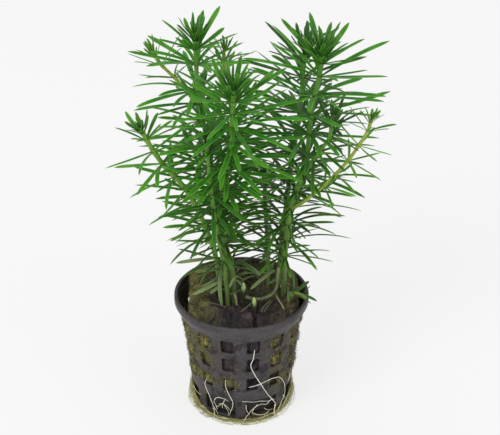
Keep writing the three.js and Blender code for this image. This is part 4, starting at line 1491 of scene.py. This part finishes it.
def mat_fibre_lines(draw):
    """Fibres on the outside of the mat, which run round it, steeply or level, and wave."""
    lines = []
    for _ in range(MAT_FIBRES):
        start = draw.uniform(0, math.tau)
        arc = draw.uniform(*FIBRE_ARC)
        level = draw.random() ** 0.8
        out = draw.uniform(*FIBRE_OUT) * MM
        high = draw.uniform(*WAVE_HIGH) * MM
        rate, phase = draw.uniform(*WAVE_RATE), draw.uniform(0, 6)
        slope = draw.uniform(-1, 1)
        radius = draw.uniform(*FIBRE_RADIUS) * MM
        tone = draw.random()
        count = max(5, round(arc * profile[0][OUTSIDE] / FIBRE_STEP))
        line = []
        for i in range(count):
            t = i / (count - 1)
            angle = start + arc * (t - 0.5)
            wide, top = edge_at(angle)
            top *= 1 - float(front_drop(angle))
            wave = high * math.sin(rate * angle + phase)
            height = max(LOWEST_FIBRE, top * (level + slope * (t - 0.5)) + wave)
            height = min(top + OVER_EDGE, height)
            wall = pot_radius(height)
            thick = (wide - wall) * (1 - MAT_WEDGE * min(1, height / top))
            at = around(angle, wall + max(0.1 * MM, thick + out + wave * 0.7), height)
            thin_ends = 0.5 + math.sin(math.pi * t) * 0.5
            line.append({"at": at, "radius": radius * thin_ends, "tone": tone})
        lines.append(line)
    return lines


root_tones = [(0.0, "#6c6938"), (1.0, "#f4f0c8"), (0.6, "#b4b06c")]
fine_roots = fibre_material("fine roots", root_tones, 0.5)
lines = line_mesh("mat fibres", mat_fibre_lines(random.Random("mat")))
mat_fibres = grow("root_mat_fibres", lines, tube_tree, **tube(4, 0.0, 1.0, fine_roots))
dress(mat_fibres, "mat_fibre", "root_mat")

# %% Loose fibres over the mat
FLOOR_SOFT = 0.5  # mm over the floor, below which loose fibres bend to lie on it
sizes = {"density": 4.5 / MM**2, "length": 2.0 * MM, "radius": 0.045 * MM, "lift": 0.7}
mat_fuzz = grow("root_mat_fuzz", mat_skin, fuzz_tree, **sizes, seed=11, material=fine_roots)
points = points_of(mat_fuzz.data)
low = points[:, 2] < FLOOR_SOFT
points[low, 2] = FLOOR_SOFT * np.exp(points[low, 2] / FLOOR_SOFT - 1)
set_points(mat_fuzz.data, points)
dress(mat_fuzz, "mat_fibre", "root_mat")

# %% [markdown]
# ## Roots, cut stems and the leaves at the foot
#
# Each white root follows the middles of its solid's rings, a little uneven and thinner towards its
# end. Some hair-thin ones are added on the wall beside them. The bent stem and the two stubs are
# grown the same way, and low leaves spread over the wool.

# %% Uneven tubes
END_THINNER = 0.35  # share of its radius that a root loses towards its end
WOBBLE_LONG = 2.5 * MM


def tube_line(rings, thick, step, wobble, draw):
    """Points along a tube's middle with a slightly uneven radius and course."""
    line = []
    seed = draw.uniform(0, 100)
    radii = [radius for _, radius in rings]
    for at, place in smooth_line([centre for centre, _ in rings], step):
        shift = noise.noise_vector(at / WOBBLE_LONG + Vector((seed, 0, 0))) * wobble
        radius = np.interp(place, range(len(rings)), radii) * thick
        radius *= 1 - END_THINNER * place / len(rings)
        share = place / (len(rings) - 1)
        line.append({"at": at + shift, "radius": radius, "tone": draw.random(), "share": share})
    return line


# %% Roots out of the windows
ROOT_STEP = 0.5 * MM
ROOT_THICK = 0.43  # share of the solid's radius, which is made thicker than the root


def root_material():
    """Root skin: smooth, cream white, a little translucent, and greener near the mat."""
    material, tree, shader = new_material("root skin")
    colour = ramp(tree, speckle(tree, 1.5), [(0.3, "#dcd6c4"), (0.7, "#faf6ee")])
    low = below(tree, coordinates(tree)["Z"], 3 * MM, 14 * MM)
    colour = tinted(tree, colour, "#bdb878", low, 0.6)
    paint(shader, colour, WET_ROUGHNESS)
    soak(shader, 0.2, 0.5, (1.0, 1.0, 0.9))
    return material


draw = random.Random("roots")
root_tube = tube(8, 0.08, 0.5, root_material())
for name in ROOTS:
    lines = line_mesh(name, [tube_line(read_tube(name), ROOT_THICK, ROOT_STEP, 0.1 * MM, draw)])
    dress(grow(name + "_form", lines, tube_tree, **root_tube), "root_skin", name)


# %% Hair roots
HAIR_OUT = 0.35 * MM  # from the wall to a hair root's middle
# Hair roots: radius in mm, then places as the angle from the front in degrees and the height in mm
FINE_ROOTS = [
    (0.13, (-33.7, 9.2), (-31, 7.4), (-29.2, 5.5)),
    (0.11, (-19.6, 11.6), (-21.8, 9), (-22.6, 6.9)),
    (0.12, (66.6, 19.2), (65.6, 16.7), (64.5, 15), (62.5, 13.8)),
    (0.11, (-27, 8.4), (-22, 9.4), (-17, 8.2), (-13, 6.2)),
    (0.1, (-20, 8.6), (-16, 5.6), (-15, 3.4)),
    (0.12, (22, 9.0), (29, 8.2), (35, 9.4), (41, 8.8)),
    (0.1, (26, 6.6), (31, 4.8), (38, 4.2)),
    (0.24, (41.2, 5.8), (41, 4.4), (39.2, 2.6), (38.4, 1.0)),
    (0.16, (18.4, 9.1), (10.7, 6.1), (5.6, 3.2), (1.1, 1.2)),
    (0.16, (12.2, 4.9), (19.6, 3.4), (27, 3.0), (34, 3.6)),
    (0.18, (54.8, 8.4), (56.4, 6.6), (52, 4.4), (44, 3.0)),
    (0.17, (-34.1, 5.4), (-33.8, 4.2), (-32.6, 2.6), (-32, 1.1)),
    (0.12, (-33.6, 6.4), (-31, 4.6), (-28.9, 3.0)),
]


def on_wall(angle, height):
    """A place on the outside of the pot, or on the mat where that lies over it."""
    turn = math.radians(angle)
    wide, top = edge_at(turn)
    top *= 1 - float(front_drop(turn))
    wall = pot_radius(height * MM)
    over_mat = step_up(top / MM + 0.8 - height, 0, 1.2)
    return around(turn, wall + HAIR_OUT + over_mat * (wide - wall), height * MM)


lines = []
for radius, *line_places in FINE_ROOTS:
    rings = [(on_wall(*place), radius * MM) for place in line_places]
    lines.append(tube_line(rings, 1.0, ROOT_STEP, 0.2 * MM, draw))
hair_roots = grow("hair_roots", line_mesh("hair roots", lines), tube_tree, **root_tube)
dress(hair_roots, "root_skin")

# %% Bent stem and stubs
CUT_THICK = 0.95
BUD_SHAPE = [(0, 0.12), (1.2, 0.75), (2.4, 1.0), (3.6, 0.85), (5, 0.6)]  # mm from tip, width
BUD_COLOUR_REACH = 14  # mm from the tip, over which the bud's colour fades


def cut_stem_material(name, dark, pale, fresh):
    """A bare stem's skin in two tones, and its colour at the cut end."""
    material, tree, shader = new_material(name)
    streaks = speckle(tree, 0.8, detail=3.0, stretch=(1, 1, 0.2))
    colour = ramp(tree, streaks, [(0.35, dark), (0.7, pale)])
    colour = blend_colours(tree, between(tree, attribute(tree, "share"), 0.62, 0.9), colour, fresh)
    paint(shader, colour, WET_ROUGHNESS)
    soak(shader, 0.15, 0.8, (0.7, 1.0, 0.3))
    return material


bent_skin = cut_stem_material("olive stem skin", "#4e5a38", "#737e52", "#7c8758")
# Painted shade: the stubs' rods below their bright green buds are painted dark brown.
fresh_skin = cut_stem_material("young bud skin", "#34322a", "#4c4e3a", "#b2cc80")
for name in CUT_STEMS:
    rings = read_tube(name)
    line = tube_line(rings, CUT_THICK, STEM_STEP, 0.1 * MM, draw)
    if name != "bent_stem":
        for point in line:
            below_tip = (point["at"] - rings[-1][0]).length / MM
            point["radius"] *= np.interp(below_tip, *zip(*BUD_SHAPE))
            point["share"] = 1 - min(1, below_tip / BUD_COLOUR_REACH)
    skin = bent_skin if name == "bent_stem" else fresh_skin
    stem = grow(name + "_form", line_mesh(name, [line]), tube_tree, **tube(12, 0.2, 1.2, skin))
    dress(stem, "bare_stem", name)

# %% Leaves at the foot
FOOT_LEAVES = [  # foot, middle and tip in mm, and how fresh the leaf is
    ((-7.3, -2, 66.1), (-7.8, -5, 57.2), (-7.8, -8, 48.7), 0.9),
    ((-6.4, -2, 58.3), (-13, -4.4, 55.2), (-19.8, -5, 52.4), 0.7),
    ((-6.6, -2.4, 56.6), (-9.6, -3.6, 54.8), (-12.6, -4.2, 52.4), 0.6),
    ((-6.2, -2, 62.3), (-12.5, -4, 63.1), (-18.4, -6, 63.9), 0.5),
    ((-7.8, 4, 64.2), (-16.6, 6, 62), (-26.4, 8, 59.3), 0.3),
    ((-1.2, -3, 67.2), (3.3, -7, 66.4), (7.7, -10, 64.8), 1.0),
    ((13.3, -3, 63), (8.1, -6, 59.7), (3.4, -9, 57.4), 0.5),
]
FOOT_LEAF_HALF = 0.75 * MM


# %% Thin old leaves over the wool
LITTER = 34  # thin old leaves that lie between the stems' feet
LITTER_LONG = (5, 13)
LITTER_HALF = 0.45 * MM
LITTER_FEET = (52, 62)  # heights of their feet in mm
LITTER_FALL = (-4, 2)  # mm from the foot's height to the tip's
LITTER_LOWEST = 51.5
LITTER_ARCH = 1.2
LITTER_OVER = 0.4 * MM  # how far over the wool they stay
LITTER_INSIDE = 4 * MM  # how far from the rim their tips stay
skin_points = [vertex.co for vertex in wool_skin.vertices]
skin_faces = [face.vertices[:] for face in wool_skin.polygons]
wool_surface = BVHTree.FromPolygons(skin_points, skin_faces)


def over_wool(at):
    """The place itself, raised where the wool would cover it."""
    found = wool_surface.ray_cast(Vector((at.x, at.y, 0.1)), Vector((0, 0, -1)))[0]
    return at if found is None else Vector((at.x, at.y, max(at.z, found.z + LITTER_OVER)))


def litter_leaves(draw):
    """Thin old leaves low between the stems, a little over the wool, pointing all ways."""
    feet = [rings[1][0] for rings, _ in shoots.values() if rings[0][0].z < 40 * MM]
    for _ in range(LITTER):
        foot = draw.choice(feet) + Vector((draw.gauss(0, 2.5), draw.gauss(1, 3), 0)) * MM
        foot.z = draw.uniform(*LITTER_FEET) * MM
        turn = draw.uniform(0, math.tau)
        level = Vector((math.sin(turn), -0.8 * math.cos(turn), 0))
        length = draw.uniform(*LITTER_LONG) * MM
        tip = foot + level * length
        tip.z = max(LITTER_LOWEST * MM, foot.z + draw.uniform(*LITTER_FALL) * MM)
        bend = (foot + tip) / 2 + Vector((0, 0, draw.uniform(0, LITTER_ARCH))) * MM
        if math.hypot(tip.x, tip.y) < profile[-1][INSIDE] - LITTER_INSIDE:
            yield over_wool(foot), over_wool(bend), over_wool(tip)


# %% Grow the low leaves
FACING = Vector((0, -0.5, 0.85))  # where the upper sides of the low leaves look
draw = random.Random("foot leaves")
low_leaves = []
for *line_places, fresh in FOOT_LEAVES:
    low_leaves.append(([Vector(place) * MM for place in line_places], FOOT_LEAF_HALF, 1 - fresh))
for line_places in litter_leaves(draw):
    low_leaves.append((line_places, LITTER_HALF, draw.uniform(0.5, 1)))
lines = []
for (foot, bend, tip), half, age in low_leaves:
    along = (tip - foot).normalized()
    side = along.cross(FACING).normalized()
    leaf = {"foot": foot, "bend": bend, "tip": tip, "half": half, "up": side.cross(along)}
    lines.append(midrib(leaf, age, draw))
foot_leaves = grow("foot_leaves", line_mesh("foot leaves", lines), blade_tree, **blade(dull_leaf))
dress(foot_leaves, "leaf_dark")

# %% Sizes
seen_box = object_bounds()
boxes = {"solid": solid_box, "seen": seen_box}
{key: [list(corner) for corner in box] for key, box in boxes.items()}
print("seen box:", in_mm(seen_box))
